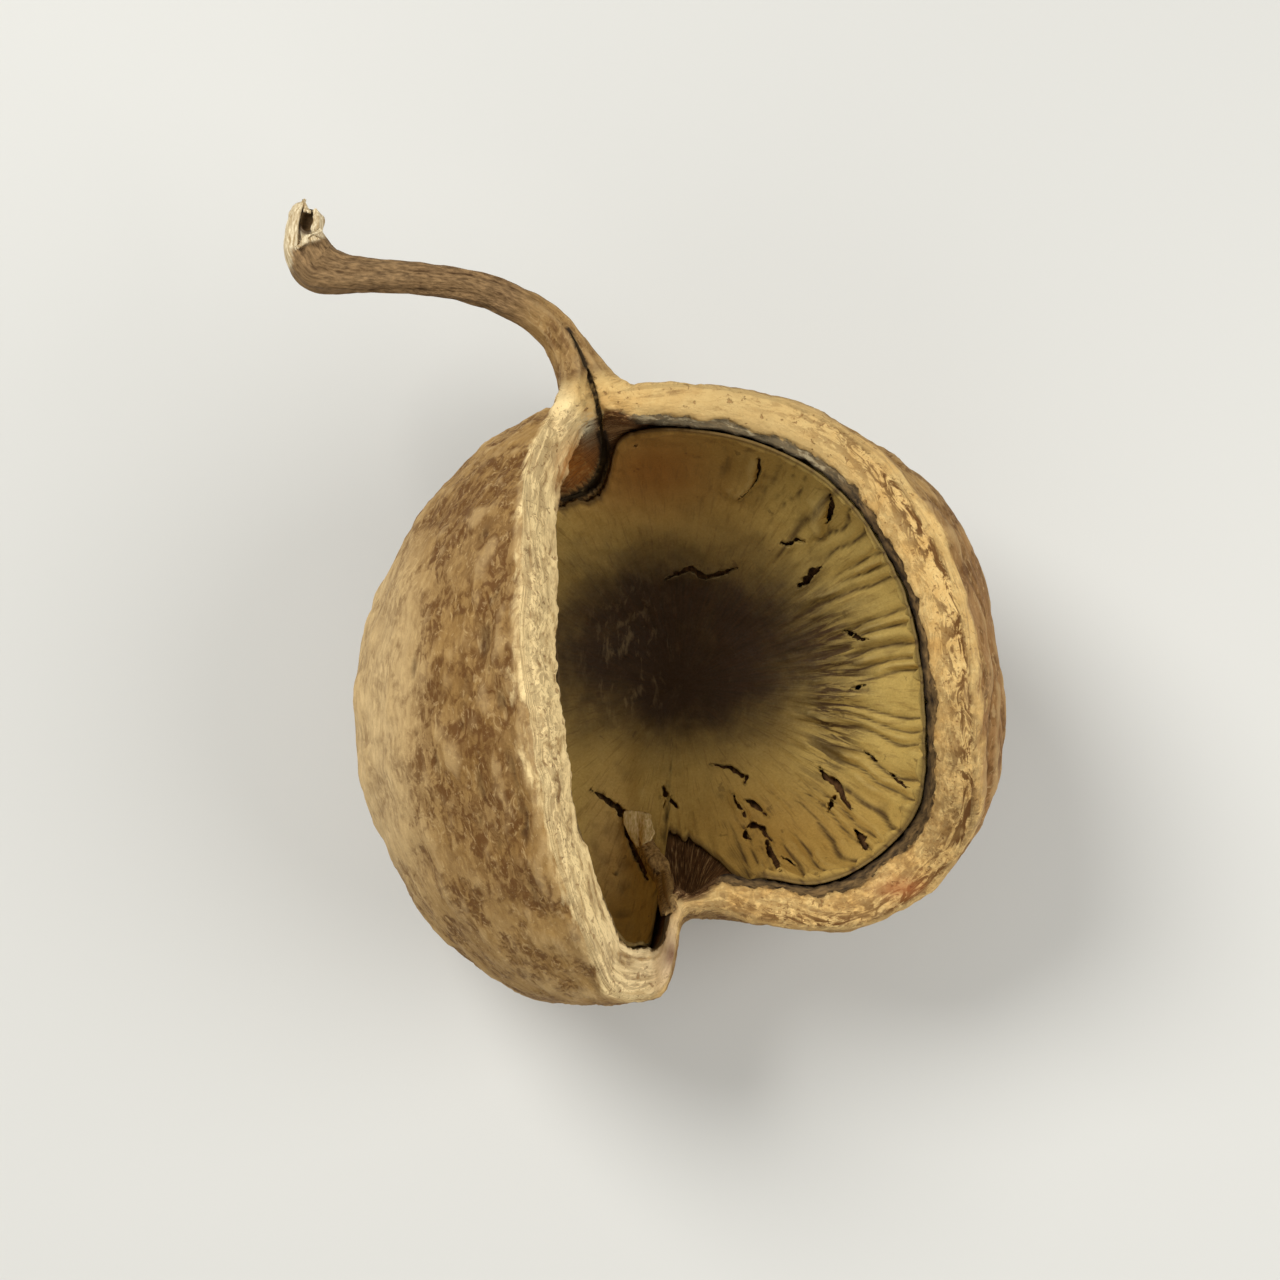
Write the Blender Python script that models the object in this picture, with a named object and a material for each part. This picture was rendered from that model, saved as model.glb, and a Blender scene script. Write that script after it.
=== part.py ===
# Dried sterculia pod: one woody follicle that has split open along its seam, lying on its back.
# The woody wall, its two thick lips and the curved stalk grew as one piece. A thin papery lining
# lies loose inside the wall and is torn away beside the stalk and at the tip.
#
# The pod is shaped in its own frame, in millimetres: +X to the right and +Y towards the stalk as
# one looks into the mouth, +Z out of the mouth. A place on it is given by an azimuth, in degrees
# round the Z axis from +X, and a reach, in degrees from the middle of the back (0) towards the
# mouth. An empty then turns it so that it rests on the flat spot of its back.

import math

import bmesh
import bpy
import numpy as np
from mathutils import Matrix, Vector

MM = 0.001

# Body: half width seen from the mouth at each azimuth, and depth before and behind the centre
OUTLINE = [
    (0, 54.9), (30, 54.0), (60, 52.7), (90, 52.1), (120, 52.8), (150, 53.9),
    (180, 54.9), (210, 56.2), (230, 57.8), (245, 57.6), (256, 55.0), (263, 53.2),
    (270, 51.0), (278, 49.0), (286, 48.0), (296, 48.0), (304, 50.6), (315, 53.0),
    (330, 55.0), (345, 55.2),
]
FRONT_DEPTH = 47.0
BACK_DEPTH = 41.0

# Lips: how far the wall reaches round towards the mouth at each azimuth
LIP_REACH = [
    (0, 118.0), (20, 116.5), (35, 114.0), (46, 109.5), (60, 102.0), (75, 97.5), (90, 96.0),
    (102, 98.0), (108, 93.0), (113, 101.0), (120, 115.0), (136, 137.0), (155, 147.0), (182, 152.0),
    (212, 150.0), (231, 142.5), (244, 134.0), (252, 123.0), (258, 109.0), (263, 104.0),
    (268, 105.0), (274, 102.0), (282, 101.0), (298, 100.0), (312, 98.0), (326, 99.0), (343, 112.0),
]
LIP_THICKNESS = [
    (0, 9.2), (40, 9.0), (70, 8.2), (95, 7.0), (108, 5.5), (116, 8.5), (130, 10.2), (150, 10.0),
    (180, 9.2), (240, 8.8), (258, 9.0), (264, 8.4), (268, 4.8), (273, 4.2), (277, 5.4), (281, 7.8),
    (285, 9.2), (300, 9.5), (325, 10.0),
]
WALL_THICKNESS = 5.5
LIP_FADE = 13.0  # distance from the mouth over which the wall thins
LIP_ROUNDING = 1.5
# Lip's face from its outer corner to its inner one: roundings back from the edge, share of the
# thickness. The last fifth is stepped back, where the grey fibrous layer shows.
LIP_PROFILE = [(0.9, 0.0), (0.1, 0.17), (-0.15, 0.45), (0.1, 0.72), (1.0, 0.8), (1.5, 0.98)]
EDGE_PROFILE = [(0.9, 0.0), (0.0, 0.3), (0.0, 0.7), (0.9, 1.0)]

# Fold at the tip: outside, the wall drops from the left lobe to the right one at this azimuth, and
# rises again over the given width. Inside, the same step stands further left and leans as it runs back.
OUTER_STEP = {"azimuth": 268.7, "blur": 0.6, "depth": 13.0, "width": 24.0, "reach": 102.0, "spread": 40.0}
INNER_STEP = {"azimuth": 266.3, "blur": 0.6, "depth": 12.5, "width": 24.0, "reach": 104.0, "spread": 52.0}
INNER_LEAN = 0.00005  # degrees of azimuth for each cubed degree of reach behind the lip
INNER_BLUR = 0.05  # growth of the inner step's blur for each degree of reach behind the lip

# Broad swellings and hollows of the back and sides: azimuth, reach, half width and height
SWELLINGS = [
    (200, 62, 24, 1.6),
    (125, 10, 19, 1.6),
    (20, 70, 22, 1.4),
    (110, 55, 26, -1.2),
    (330, 58, 24, 1.2),
    (255, 48, 20, 1.4),
    (150, 100, 20, -0.9),
    (38, 96, 13, 0.8),
    (5, 96, 12, -0.8),
    (345, 98, 12, 0.9),
]

# Stalk: centre line (x, y, z) with its radius, from inside the wall to the torn end
STALK = [
    (-15.6, 46.5, 1.0, 4.0), (-16.6, 50.5, 2.2, 3.8), (-17.5, 54.0, 2.8, 3.5), (-18.9, 57.8, 3.0, 3.3),
    (-21.4, 61.3, 3.2, 3.1), (-25.5, 64.3, 2.8, 3.0), (-30.6, 66.8, 2.2, 2.9), (-36.8, 68.8, 1.6, 2.8),
    (-43.6, 69.8, 1.0, 2.7), (-50.6, 70.2, 0.6, 2.8), (-56.8, 70.6, 0.4, 3.2), (-61.6, 71.6, 0.3, 4.4),
    (-63.7, 75.0, 0.3, 3.9), (-64.2, 79.0, 0.3, 2.9), (-63.9, 81.6, 0.3, 1.9),
]
RIGHT_SHOULDER = [
    (-0.6, 48.6, 2.0, 1.5), (-5.0, 47.8, 3.8, 2.8), (-9.4, 48.2, 4.2, 3.3), (-12.8, 50.8, 3.8, 3.0),
    (-15.2, 54.2, 3.4, 2.5), (-17.8, 58.6, 3.0, 1.9),
]
LEFT_SHOULDER = [
    (-22.8, 39.0, 14.0, 1.6), (-20.4, 43.6, 12.6, 2.6), (-18.0, 48.4, 9.0, 2.6), (-17.7, 52.6, 5.8, 2.4),
    (-18.6, 58.0, 3.4, 2.2),
]
KEEL = [
    (-18.6, 56.5, 2.2, 2.4), (-16.8, 51.8, -2.2, 3.0), (-15.0, 48.0, -8.0, 2.7), (-13.4, 45.6, -14.0, 2.0),
    (-12.0, 42.0, -19.0, 1.4),
]
STALK_PARTS = {"stalk": STALK, "right_shoulder": RIGHT_SHOULDER, "left_shoulder": LEFT_SHOULDER, "keel": KEEL}
STALK_SIDES = 14
SEAM_SLIT = {"start": (-12.6, 35.0, 7.6), "end": (-18.6, 61.0, 6.4), "half_width": 1.1, "half_depth": 4.2}

# Lining: thin sheet inside the wall, and how far short of the lip its edge stops
LINING_GAP = 0.6
LINING_THICKNESS = 1.1
LINING_SHORTFALL = [
    (0, 2.5), (60, 2.5), (84, 4.0), (92, 8.0), (99, 18.0), (105, 24.0), (108, 28.0), (111, 37.0),
    (115, 45.0), (119, 49.0), (124, 53.0), (130, 36.0), (138, 10.0), (150, 3.0), (200, 2.5),
    (250, 3.0), (260, 5.0), (264, 40.0), (267, 62.0), (272, 52.0), (278, 36.0), (284, 18.0), (290, 5.0),
    (320, 2.5),
]

# Rest: the view into the mouth looks down at this elevation, and the back is flattened this deep
VIEW_ELEVATION = 79.0
CENTRE_HEIGHT = 40.9
CENTRE_X = 6.17
CENTRE_Y = -13.66
REST_BLOCK = (70, 70, 20)

# Mesh density
COLUMNS = 88
CROWDING = [(111, 15, 1.6), (267, 10, 3.6)]  # azimuth, half width and gain of the extra columns
OUTSIDE_RINGS = 14
INSIDE_RINGS = 15


def clear_scene():
    for obj in list(bpy.data.objects):
        bpy.data.objects.remove(obj, do_unlink=True)


def loop_value(table, azimuth):
    """A smooth closed curve through (azimuth, value) pairs, read at the given azimuths."""
    angles = np.array([pair[0] for pair in table], float)
    values = np.array([pair[1] for pair in table], float)
    count = len(table)
    knots = np.r_[angles[-1] - 360, angles, angles[0] + 360]
    heights = np.r_[values[-1], values, values[0]]
    slopes = np.empty(count + 2)
    slopes[1:-1] = (heights[2:] - heights[:-2]) / (knots[2:] - knots[:-2])
    slopes[0], slopes[-1] = slopes[count], slopes[1]
    turned = np.mod(np.asarray(azimuth, float) - angles[0], 360) + angles[0]
    left = np.clip(np.searchsorted(knots, turned, side="right") - 1, 0, count)
    span = knots[left + 1] - knots[left]
    t = (turned - knots[left]) / span
    return (
        (1 + 2 * t) * (1 - t) ** 2 * heights[left]
        + t * (1 - t) ** 2 * span * slopes[left]
        + t * t * (3 - 2 * t) * heights[left + 1]
        + t * t * (t - 1) * span * slopes[left + 1]
    )


def turn_between(azimuth, centre):
    """Signed angle from centre to azimuth, from -180 to 180 degrees."""
    return np.mod(azimuth - centre + 180, 360) - 180


def direction(azimuth, reach):
    a, r = np.radians(azimuth), np.radians(reach)
    return np.stack([np.sin(r) * np.cos(a), np.sin(r) * np.sin(a), -np.cos(r)], -1)


def smooth_radius(azimuth, reach):
    """Outer radius without the fold at the tip."""
    side = loop_value(OUTLINE, azimuth)
    depth = np.where(reach > 90, FRONT_DEPTH, BACK_DEPTH)
    r = np.radians(reach)
    radius = ((np.sin(r) / side) ** 2 + (np.cos(r) / depth) ** 2) ** -0.5
    here = direction(azimuth, reach)
    for swell_azimuth, swell_reach, half_width, height in SWELLINGS:
        cosine = np.clip(here @ direction(swell_azimuth, swell_reach), -1, 1)
        radius = radius + height * np.exp(-((np.degrees(np.arccos(cosine)) / half_width) ** 2))
    return radius


def fold_step(step, turn, reach, blur):
    """Depth of a step that falls sharply at one azimuth and rises again slowly beyond it."""
    rise = 0.5 + 0.5 * np.tanh(turn / (2 * blur))
    behind = np.clip(step["reach"] - reach, 0, None)
    fade = np.exp(-((turn / step["width"]) ** 2) - (behind / step["spread"]) ** 2)
    return step["depth"] * rise * fade


def outer_radius(azimuth, reach):
    turn = turn_between(azimuth, OUTER_STEP["azimuth"])
    return smooth_radius(azimuth, reach) - fold_step(OUTER_STEP, turn, reach, OUTER_STEP["blur"])


def inner_step(azimuth, reach):
    behind = np.clip(INNER_STEP["reach"] - reach, 0, None)
    turn = turn_between(azimuth, INNER_STEP["azimuth"] - INNER_LEAN * behind**3)
    return fold_step(INNER_STEP, turn, reach, INNER_STEP["blur"] + INNER_BLUR * behind)


def inner_radius(azimuth, reach):
    """Inside of the woody wall, which thickens towards the lips."""
    lip = loop_value(LIP_REACH, azimuth)
    away = np.radians(lip - reach) * smooth_radius(azimuth, reach)
    extra = loop_value(LIP_THICKNESS, azimuth) - WALL_THICKNESS
    wall = WALL_THICKNESS + extra * np.exp(-((away / LIP_FADE) ** 2))
    return smooth_radius(azimuth, reach) - wall - inner_step(azimuth, reach)


def slant(azimuth, reach):
    """How much longer a radial step is than the same step square to the inside of the wall."""
    step = 0.25
    radius = inner_radius(azimuth, reach)
    per_degree = math.radians(1) * radius
    across = inner_radius(azimuth + step, reach) - inner_radius(azimuth - step, reach)
    along = inner_radius(azimuth, reach + step) - inner_radius(azimuth, reach - step)
    around = np.sin(np.radians(np.clip(reach, 4, 176)))
    across, along = across / (2 * step * per_degree * around), along / (2 * step * per_degree)
    return np.sqrt(1 + across**2 + along**2)


def crowded_azimuths(count):
    """Azimuths of the columns, closer together at the stalk and at the tip's fold."""
    fine = np.linspace(0, 360, 3601)
    density = 1.0
    for centre, half_width, gain in CROWDING:
        density = density + gain * np.exp(-((turn_between(fine, centre) / half_width) ** 2))
    total = np.r_[0, np.cumsum((density[1:] + density[:-1]) / 2)]
    return np.interp(np.arange(count) / count * total[-1], total, fine)


def ring_stops(rings):
    """Shares of the way from the back to the lip, closer together near the lip."""
    return 1 - (1 - np.arange(rings) / rings) ** 1.25


def bowl_rows(azimuth, reach_at_edge, outer, inner, rings_out, rings_in, rounding, profile):
    """Rows of points of a closed bowl, from its outer pole over the edge to its inner pole."""
    rows = []
    for share in ring_stops(rings_out):
        reach = share * reach_at_edge
        rows.append(direction(azimuth, reach) * outer(azimuth, reach)[:, None])
    outside = outer(azimuth, reach_at_edge)
    width = outside - inner(azimuth, reach_at_edge)
    corner = np.degrees(rounding / outside)
    for back, depth in profile:
        reach = reach_at_edge - back * corner
        rows.append(direction(azimuth, reach) * (outside - depth * width)[:, None])
    for share in ring_stops(rings_in)[::-1]:
        reach = share * reach_at_edge
        rows.append(direction(azimuth, reach) * inner(azimuth, reach)[:, None])
    return rows


def folded_sphere(name, rows, azimuth):
    """A UV sphere whose rings are laid on the rows, so that its upper half folds into its lower."""
    bm = bmesh.new()
    bmesh.ops.create_uvsphere(bm, u_segments=len(azimuth), v_segments=len(rows) - 1, radius=1.0)
    for vert in bm.verts:
        turn = math.atan2(vert.co.y, vert.co.x) / (2 * math.pi) * len(azimuth)
        ring = math.acos(max(-1.0, min(1.0, -vert.co.z))) / math.pi * (len(rows) - 1)
        vert.co = Vector(rows[round(ring)][round(turn) % len(azimuth)]) * MM
    bmesh.ops.recalc_face_normals(bm, faces=bm.faces)
    mesh = bpy.data.meshes.new(name)
    bm.to_mesh(mesh)
    bm.free()
    mesh.shade_smooth()
    return mesh


def woody_shell():
    azimuth = crowded_azimuths(COLUMNS)
    lip = loop_value(LIP_REACH, azimuth)
    rows = bowl_rows(azimuth, lip, outer_radius, inner_radius, OUTSIDE_RINGS, INSIDE_RINGS, LIP_ROUNDING, LIP_PROFILE)
    return folded_sphere("woody_shell", rows, azimuth)


def papery_lining():
    azimuth = crowded_azimuths(COLUMNS)
    edge = loop_value(LIP_REACH, azimuth) - loop_value(LINING_SHORTFALL, azimuth)

    def outside(a, r):
        return inner_radius(a, r) - LINING_GAP * slant(a, r)

    def inside(a, r):
        return inner_radius(a, r) - (LINING_GAP + LINING_THICKNESS) * slant(a, r)

    rows = bowl_rows(azimuth, edge, outside, inside, INSIDE_RINGS, INSIDE_RINGS, LINING_THICKNESS / 3, EDGE_PROFILE)
    return folded_sphere("papery_lining", rows, azimuth)


def tube_mesh(name, stations):
    """A round curve through the stations (x, y, z, radius), made a closed mesh."""
    curve = bpy.data.curves.new("tube", "CURVE")
    curve.dimensions = "3D"
    curve.bevel_depth = MM
    curve.bevel_resolution = (STALK_SIDES - 4) // 2
    curve.resolution_u = 2
    curve.use_fill_caps = True
    spline = curve.splines.new("NURBS")
    spline.points.add(len(stations) - 1)
    spline.order_u = 3
    spline.use_endpoint_u = True
    for point, (x, y, z, radius) in zip(spline.points, stations):
        point.co = (x * MM, y * MM, z * MM, 1)
        point.radius = radius
    line = bpy.data.objects.new("tube", curve)
    bpy.context.scene.collection.objects.link(line)
    bpy.context.view_layer.update()
    graph = bpy.context.evaluated_depsgraph_get()
    mesh = bpy.data.meshes.new_from_object(line.evaluated_get(graph))
    mesh.name = name
    bpy.data.objects.remove(line)
    bm = bmesh.new()
    bm.from_mesh(mesh)
    bmesh.ops.remove_doubles(bm, verts=bm.verts, dist=0.01 * MM)
    bmesh.ops.recalc_face_normals(bm, faces=bm.faces)
    bm.to_mesh(mesh)
    bm.free()
    mesh.shade_smooth()
    return mesh


def slit_cutter():
    """A thin lens along the seam, where it runs up from the mouth into the stalk."""
    start, end = Vector(SEAM_SLIT["start"]) * MM, Vector(SEAM_SLIT["end"]) * MM
    half_width, half_depth = SEAM_SLIT["half_width"] * MM, SEAM_SLIT["half_depth"] * MM
    scale = Matrix.Diagonal((half_width, half_depth, (end - start).length / 2, 1))
    along = (end - start).to_track_quat("Z", "Y").to_matrix().to_4x4()
    bm = bmesh.new()
    bmesh.ops.create_uvsphere(
        bm, u_segments=10, v_segments=10, radius=1.0,
        matrix=Matrix.Translation((start + end) / 2) @ along @ scale,
    )
    mesh = bpy.data.meshes.new("slit_cutter")
    bm.to_mesh(mesh)
    bm.free()
    return mesh


def rest_cutter():
    """A block whose upper face is the surface that the pod lies on."""
    bm = bmesh.new()
    block = Matrix.Diagonal((REST_BLOCK[0] * MM, REST_BLOCK[1] * MM, REST_BLOCK[2] * MM, 1))
    bmesh.ops.create_cube(bm, size=1.0, matrix=Matrix.Translation((0, 0, -REST_BLOCK[2] / 2 * MM)) @ block)
    mesh = bpy.data.meshes.new("rest_cutter")
    bm.to_mesh(mesh)
    bm.free()
    return mesh


def shape_with(shell, piece, operation):
    """Joins a helper piece to the shell, or cuts it away; the helper itself isn't part of the pod."""
    piece.hide_render = True
    piece.display_type = "WIRE"
    modifier = shell.modifiers.new(piece.name, "BOOLEAN")
    modifier.operation = operation
    modifier.solver = "EXACT"
    modifier.object = piece


def material(name, colour, roughness):
    made = bpy.data.materials.new(name)
    made.use_nodes = True
    shader = made.node_tree.nodes["Principled BSDF"]
    shader.inputs["Base Color"].default_value = (*colour, 1)
    shader.inputs["Roughness"].default_value = roughness
    shader.inputs["Metallic"].default_value = 0.0
    return made


def add_object(name, mesh, collection, parent=None):
    obj = bpy.data.objects.new(name, mesh)
    collection.objects.link(obj)
    obj.parent = parent
    return obj


def main():
    clear_scene()
    pod = bpy.data.collections.new("sterculia_pod")
    helpers = bpy.data.collections.new("cutters_and_joined_pieces")
    bpy.context.scene.collection.children.link(pod)
    bpy.context.scene.collection.children.link(helpers)

    rest = bpy.data.objects.new("rest_frame", None)
    pod.objects.link(rest)
    rest.rotation_euler = (math.radians(90 - VIEW_ELEVATION), 0, 0)
    rest.location = (CENTRE_X * MM, CENTRE_Y * MM, CENTRE_HEIGHT * MM)

    shell = add_object("woody_shell", woody_shell(), pod, rest)
    shell.data.materials.append(material("weathered_bark", (0.42, 0.29, 0.15), 0.82))
    for name, stations in STALK_PARTS.items():
        shape_with(shell, add_object(name, tube_mesh(name, stations), helpers, rest), "UNION")
    shape_with(shell, add_object("slit_cutter", slit_cutter(), helpers, rest), "DIFFERENCE")
    shape_with(shell, add_object("rest_cutter", rest_cutter(), helpers), "DIFFERENCE")

    lining = add_object("papery_lining", papery_lining(), pod, rest)
    lining.data.materials.append(material("olive_lining", (0.36, 0.26, 0.10), 0.75))
    bpy.context.view_layer.update()


main()
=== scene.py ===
# Dried sterculia pod lying on its back: one grown woody wall with corky lips and a stalk, and the papery lining in it
import math

import bpy
import numpy as np
from mathutils import Matrix, Vector, noise
from mathutils.bvhtree import BVHTree


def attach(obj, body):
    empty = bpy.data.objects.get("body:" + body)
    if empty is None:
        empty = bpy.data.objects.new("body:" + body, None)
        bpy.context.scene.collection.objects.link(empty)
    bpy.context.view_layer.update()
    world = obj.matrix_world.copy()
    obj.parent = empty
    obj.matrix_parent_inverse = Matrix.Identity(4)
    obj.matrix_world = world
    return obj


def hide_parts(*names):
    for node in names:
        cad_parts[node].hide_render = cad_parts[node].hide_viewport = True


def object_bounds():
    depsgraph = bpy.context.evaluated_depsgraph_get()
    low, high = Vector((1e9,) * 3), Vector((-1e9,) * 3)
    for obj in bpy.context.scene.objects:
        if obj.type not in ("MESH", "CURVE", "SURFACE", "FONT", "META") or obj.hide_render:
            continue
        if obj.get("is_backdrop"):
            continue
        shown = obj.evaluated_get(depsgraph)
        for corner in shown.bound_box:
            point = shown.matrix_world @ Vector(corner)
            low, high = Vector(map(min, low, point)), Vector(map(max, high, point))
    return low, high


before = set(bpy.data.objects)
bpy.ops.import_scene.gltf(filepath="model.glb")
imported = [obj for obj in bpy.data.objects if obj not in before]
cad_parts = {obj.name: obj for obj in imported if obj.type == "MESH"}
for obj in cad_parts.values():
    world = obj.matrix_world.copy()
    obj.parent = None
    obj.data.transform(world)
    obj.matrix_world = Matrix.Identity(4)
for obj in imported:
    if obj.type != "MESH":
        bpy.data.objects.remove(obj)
cadLow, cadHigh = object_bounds()
mm = 0.001
noise.seed_set(11)  # the torn edges and cracks come out the same each run

# ---- shape of the pod, the same formulas as its solid; azimuth round the mouth and reach from the back, in degrees
pod = {
    "outline": [  # half width at each azimuth
        (0, 54.9), (30, 54.0), (60, 52.7), (90, 52.1), (120, 52.8), (150, 53.9), (180, 54.9), (210, 56.2),
        (230, 57.8), (245, 57.6), (256, 55.0), (263, 53.2), (270, 51.0), (278, 49.0), (286, 48.0), (296, 48.0),
        (304, 50.6), (315, 53.0), (330, 55.0), (345, 55.2)],
    "frontDepth": 47.0,
    "backDepth": 41.0,
    "lipReach": [  # how far the wall reaches round towards the mouth
        (0, 118.0), (20, 116.5), (35, 114.0), (46, 109.5), (60, 102.0), (75, 97.5), (90, 96.0), (102, 98.0),
        (108, 93.0), (113, 101.0), (120, 115.0), (136, 137.0), (155, 147.0), (182, 152.0), (212, 150.0),
        (231, 142.5), (244, 134.0), (252, 123.0), (258, 109.0), (263, 104.0), (268, 105.0), (274, 102.0),
        (282, 101.0), (298, 100.0), (312, 98.0), (326, 99.0), (343, 112.0)],
    "lipThickness": [
        (0, 9.2), (40, 9.0), (70, 8.2), (95, 7.0), (108, 5.5), (116, 8.5), (130, 10.2), (150, 10.0),
        (180, 9.2), (240, 8.8), (258, 9.0), (264, 8.4), (268, 4.8), (273, 4.2), (277, 5.4), (281, 7.8),
        (285, 9.2), (300, 9.5), (325, 10.0)],
    "wallThickness": 5.5,
    "lipFade": 13.0,
    "lipRounding": 1.5,
    "outerStep": {"azimuth": 268.7, "blur": 0.6, "depth": 13.0, "width": 24.0, "reach": 102.0, "spread": 40.0},
    "innerStep": {"azimuth": 266.3, "blur": 0.6, "depth": 12.5, "width": 24.0, "reach": 104.0, "spread": 52.0},
    "innerLean": 0.00005,
    "innerBlur": 0.05,
    "swellings": [  # azimuth, reach, half width, height
        (200, 62, 24, 1.6), (125, 10, 19, 1.6), (20, 70, 22, 1.4), (110, 55, 26, -1.2), (330, 58, 24, 1.2),
        (255, 48, 20, 1.4), (150, 100, 20, -0.9), (38, 96, 13, 0.8), (5, 96, 12, -0.8), (345, 98, 12, 0.9)],
    "lean": 11.0,  # degrees that the mouth leans towards the tip
    "centre": (6.17, -13.66, 40.9),
    "crowding": [(111, 15, 1.6), (267, 10, 3.0)],  # azimuth, half width and gain of closer columns
}
restTurn = Matrix.Rotation(math.radians(pod["lean"]), 4, "X")
restPlace = Matrix.Translation(Vector(pod["centre"]) * mm) @ restTurn
turnRows = np.array(restTurn.to_3x3())
photo = {
    "middle": (680, 690),  # the picture point over the origin
    "scale": 0.17,  # mm a pixel
    "eye": (-6.8, 8.5, 420.0),
    "halfFrame": 640,  # pixels
}


def toPod(points):  # metres on the floor to millimetres in the pod's own frame
    return (points / mm - np.array(pod["centre"])) @ turnRows


def toFloor(points):
    return (points @ turnRows.T + np.array(pod["centre"])) * mm


def loopValue(table, azimuth):  # smooth closed curve through (azimuth, value) pairs
    angles = np.array([pair[0] for pair in table], float)
    values = np.array([pair[1] for pair in table], float)
    knots = np.r_[angles[-1] - 360, angles, angles[0] + 360]
    heights = np.r_[values[-1], values, values[0]]
    slopes = np.empty(len(table) + 2)
    slopes[1:-1] = (heights[2:] - heights[:-2]) / (knots[2:] - knots[:-2])
    slopes[0], slopes[-1] = slopes[len(table)], slopes[1]
    turned = np.mod(np.asarray(azimuth, float) - angles[0], 360) + angles[0]
    left = np.clip(np.searchsorted(knots, turned, side="right") - 1, 0, len(table))
    span = knots[left + 1] - knots[left]
    t = (turned - knots[left]) / span
    return ((1 + 2 * t) * (1 - t) ** 2 * heights[left] + t * (1 - t) ** 2 * span * slopes[left]
            + t * t * (3 - 2 * t) * heights[left + 1] + t * t * (t - 1) * span * slopes[left + 1])


def turnBetween(azimuth, middle):
    return np.mod(azimuth - middle + 180, 360) - 180


def ease(value, low, high):  # 0 below low, 1 above high, smooth between; high may be the lower one
    t = np.clip((value - low) / (high - low), 0, 1)
    return t * t * (3 - 2 * t)


def hump(value, middle, width):
    return np.exp(-((value - middle) / width) ** 2)


def direction(azimuth, reach):
    a, r = np.radians(azimuth), np.radians(reach)
    return np.stack([np.sin(r) * np.cos(a), np.sin(r) * np.sin(a), -np.cos(r)], -1)


def smoothRadius(azimuth, reach):
    side = loopValue(pod["outline"], azimuth)
    depth = np.where(reach > 90, pod["frontDepth"], pod["backDepth"])
    r = np.radians(reach)
    radius = ((np.sin(r) / side) ** 2 + (np.cos(r) / depth) ** 2) ** -0.5
    here = direction(azimuth, reach)
    for swellAzimuth, swellReach, halfWidth, height in pod["swellings"]:
        cosine = np.clip(here @ direction(swellAzimuth, swellReach), -1, 1)
        radius = radius + height * np.exp(-((np.degrees(np.arccos(cosine)) / halfWidth) ** 2))
    return radius


def foldStep(step, turn, reach, blur):
    rise = 0.5 + 0.5 * np.tanh(turn / (2 * blur))
    behind = np.clip(step["reach"] - reach, 0, None)
    return step["depth"] * rise * np.exp(-((turn / step["width"]) ** 2) - (behind / step["spread"]) ** 2)


def outerRadius(azimuth, reach):
    turn = turnBetween(azimuth, pod["outerStep"]["azimuth"])
    return smoothRadius(azimuth, reach) - foldStep(pod["outerStep"], turn, reach, pod["outerStep"]["blur"])


def innerRadius(azimuth, reach):
    step = pod["innerStep"]
    behind = np.clip(step["reach"] - reach, 0, None)
    turn = turnBetween(azimuth, step["azimuth"] - pod["innerLean"] * behind ** 3)
    fold = foldStep(step, turn, reach, step["blur"] + pod["innerBlur"] * behind)
    away = np.radians(loopValue(pod["lipReach"], azimuth) - reach) * smoothRadius(azimuth, reach)
    extra = loopValue(pod["lipThickness"], azimuth) - pod["wallThickness"]
    return smoothRadius(azimuth, reach) - pod["wallThickness"] - extra * hump(away, 0, pod["lipFade"]) - fold


def slant(azimuth, reach):  # how much longer a radial step is than one square to the wall
    perDegree = math.radians(1) * innerRadius(azimuth, reach)
    across = (innerRadius(azimuth + 0.25, reach) - innerRadius(azimuth - 0.25, reach)) / 0.5
    along = (innerRadius(azimuth, reach + 0.25) - innerRadius(azimuth, reach - 0.25)) / 0.5
    around = np.sin(np.radians(np.clip(reach, 4, 176)))
    return np.sqrt(1 + (across / perDegree / around) ** 2 + (along / perDegree) ** 2)


def crowdedAzimuths(count, crowding):
    fine = np.linspace(0, 360, 3601)
    density = 1 + sum(gain * hump(turnBetween(fine, middle), 0, width) for middle, width, gain in crowding)
    total = np.r_[0, np.cumsum((density[1:] + density[:-1]) / 2)]
    return np.interp(np.arange(count) / count * total[-1], total, fine)


def ringStops(rings):
    return 1 - (1 - np.arange(rings) / rings) ** 1.12


def roughness(points, size, seed, layers=1):  # soft noise about -1 to 1 at points in mm
    return np.array([noise.fractal(Vector(p), 0.8, 2.1, layers) for p in points / size + seed * 7.31])


def roundTheLip(azimuth, size, seed):  # noise that runs round the lip and closes
    ring = np.stack([np.cos(np.radians(azimuth)), np.sin(np.radians(azimuth)), 0 * azimuth], -1) * 55
    return roughness(ring, size, seed, 2)


# ---- working with objects
def pick(piece):
    bpy.ops.object.select_all(action="DESELECT")
    piece.select_set(True)
    bpy.context.view_layer.objects.active = piece


def readPoints(piece):
    flat = np.empty(len(piece.data.vertices) * 3, np.float32)
    piece.data.vertices.foreach_get("co", flat)
    return flat.reshape(-1, 3).astype(float)


def writePoints(piece, points):
    piece.data.vertices.foreach_set("co", points.astype(np.float32).ravel())
    piece.data.update()


def applyLast(piece, **settings):  # sets the newest modifier and applies it
    modifier = piece.modifiers[-1]
    for name, value in settings.items():
        setattr(modifier, name, value)
    bpy.ops.object.modifier_apply(modifier=modifier.name)


def shapeWith(piece, tool, operation):
    pick(piece)
    bpy.ops.object.modifier_add(type="BOOLEAN")
    applyLast(piece, operation=operation, solver="MANIFOLD", object=tool)
    bpy.data.objects.remove(tool, do_unlink=True)


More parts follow.
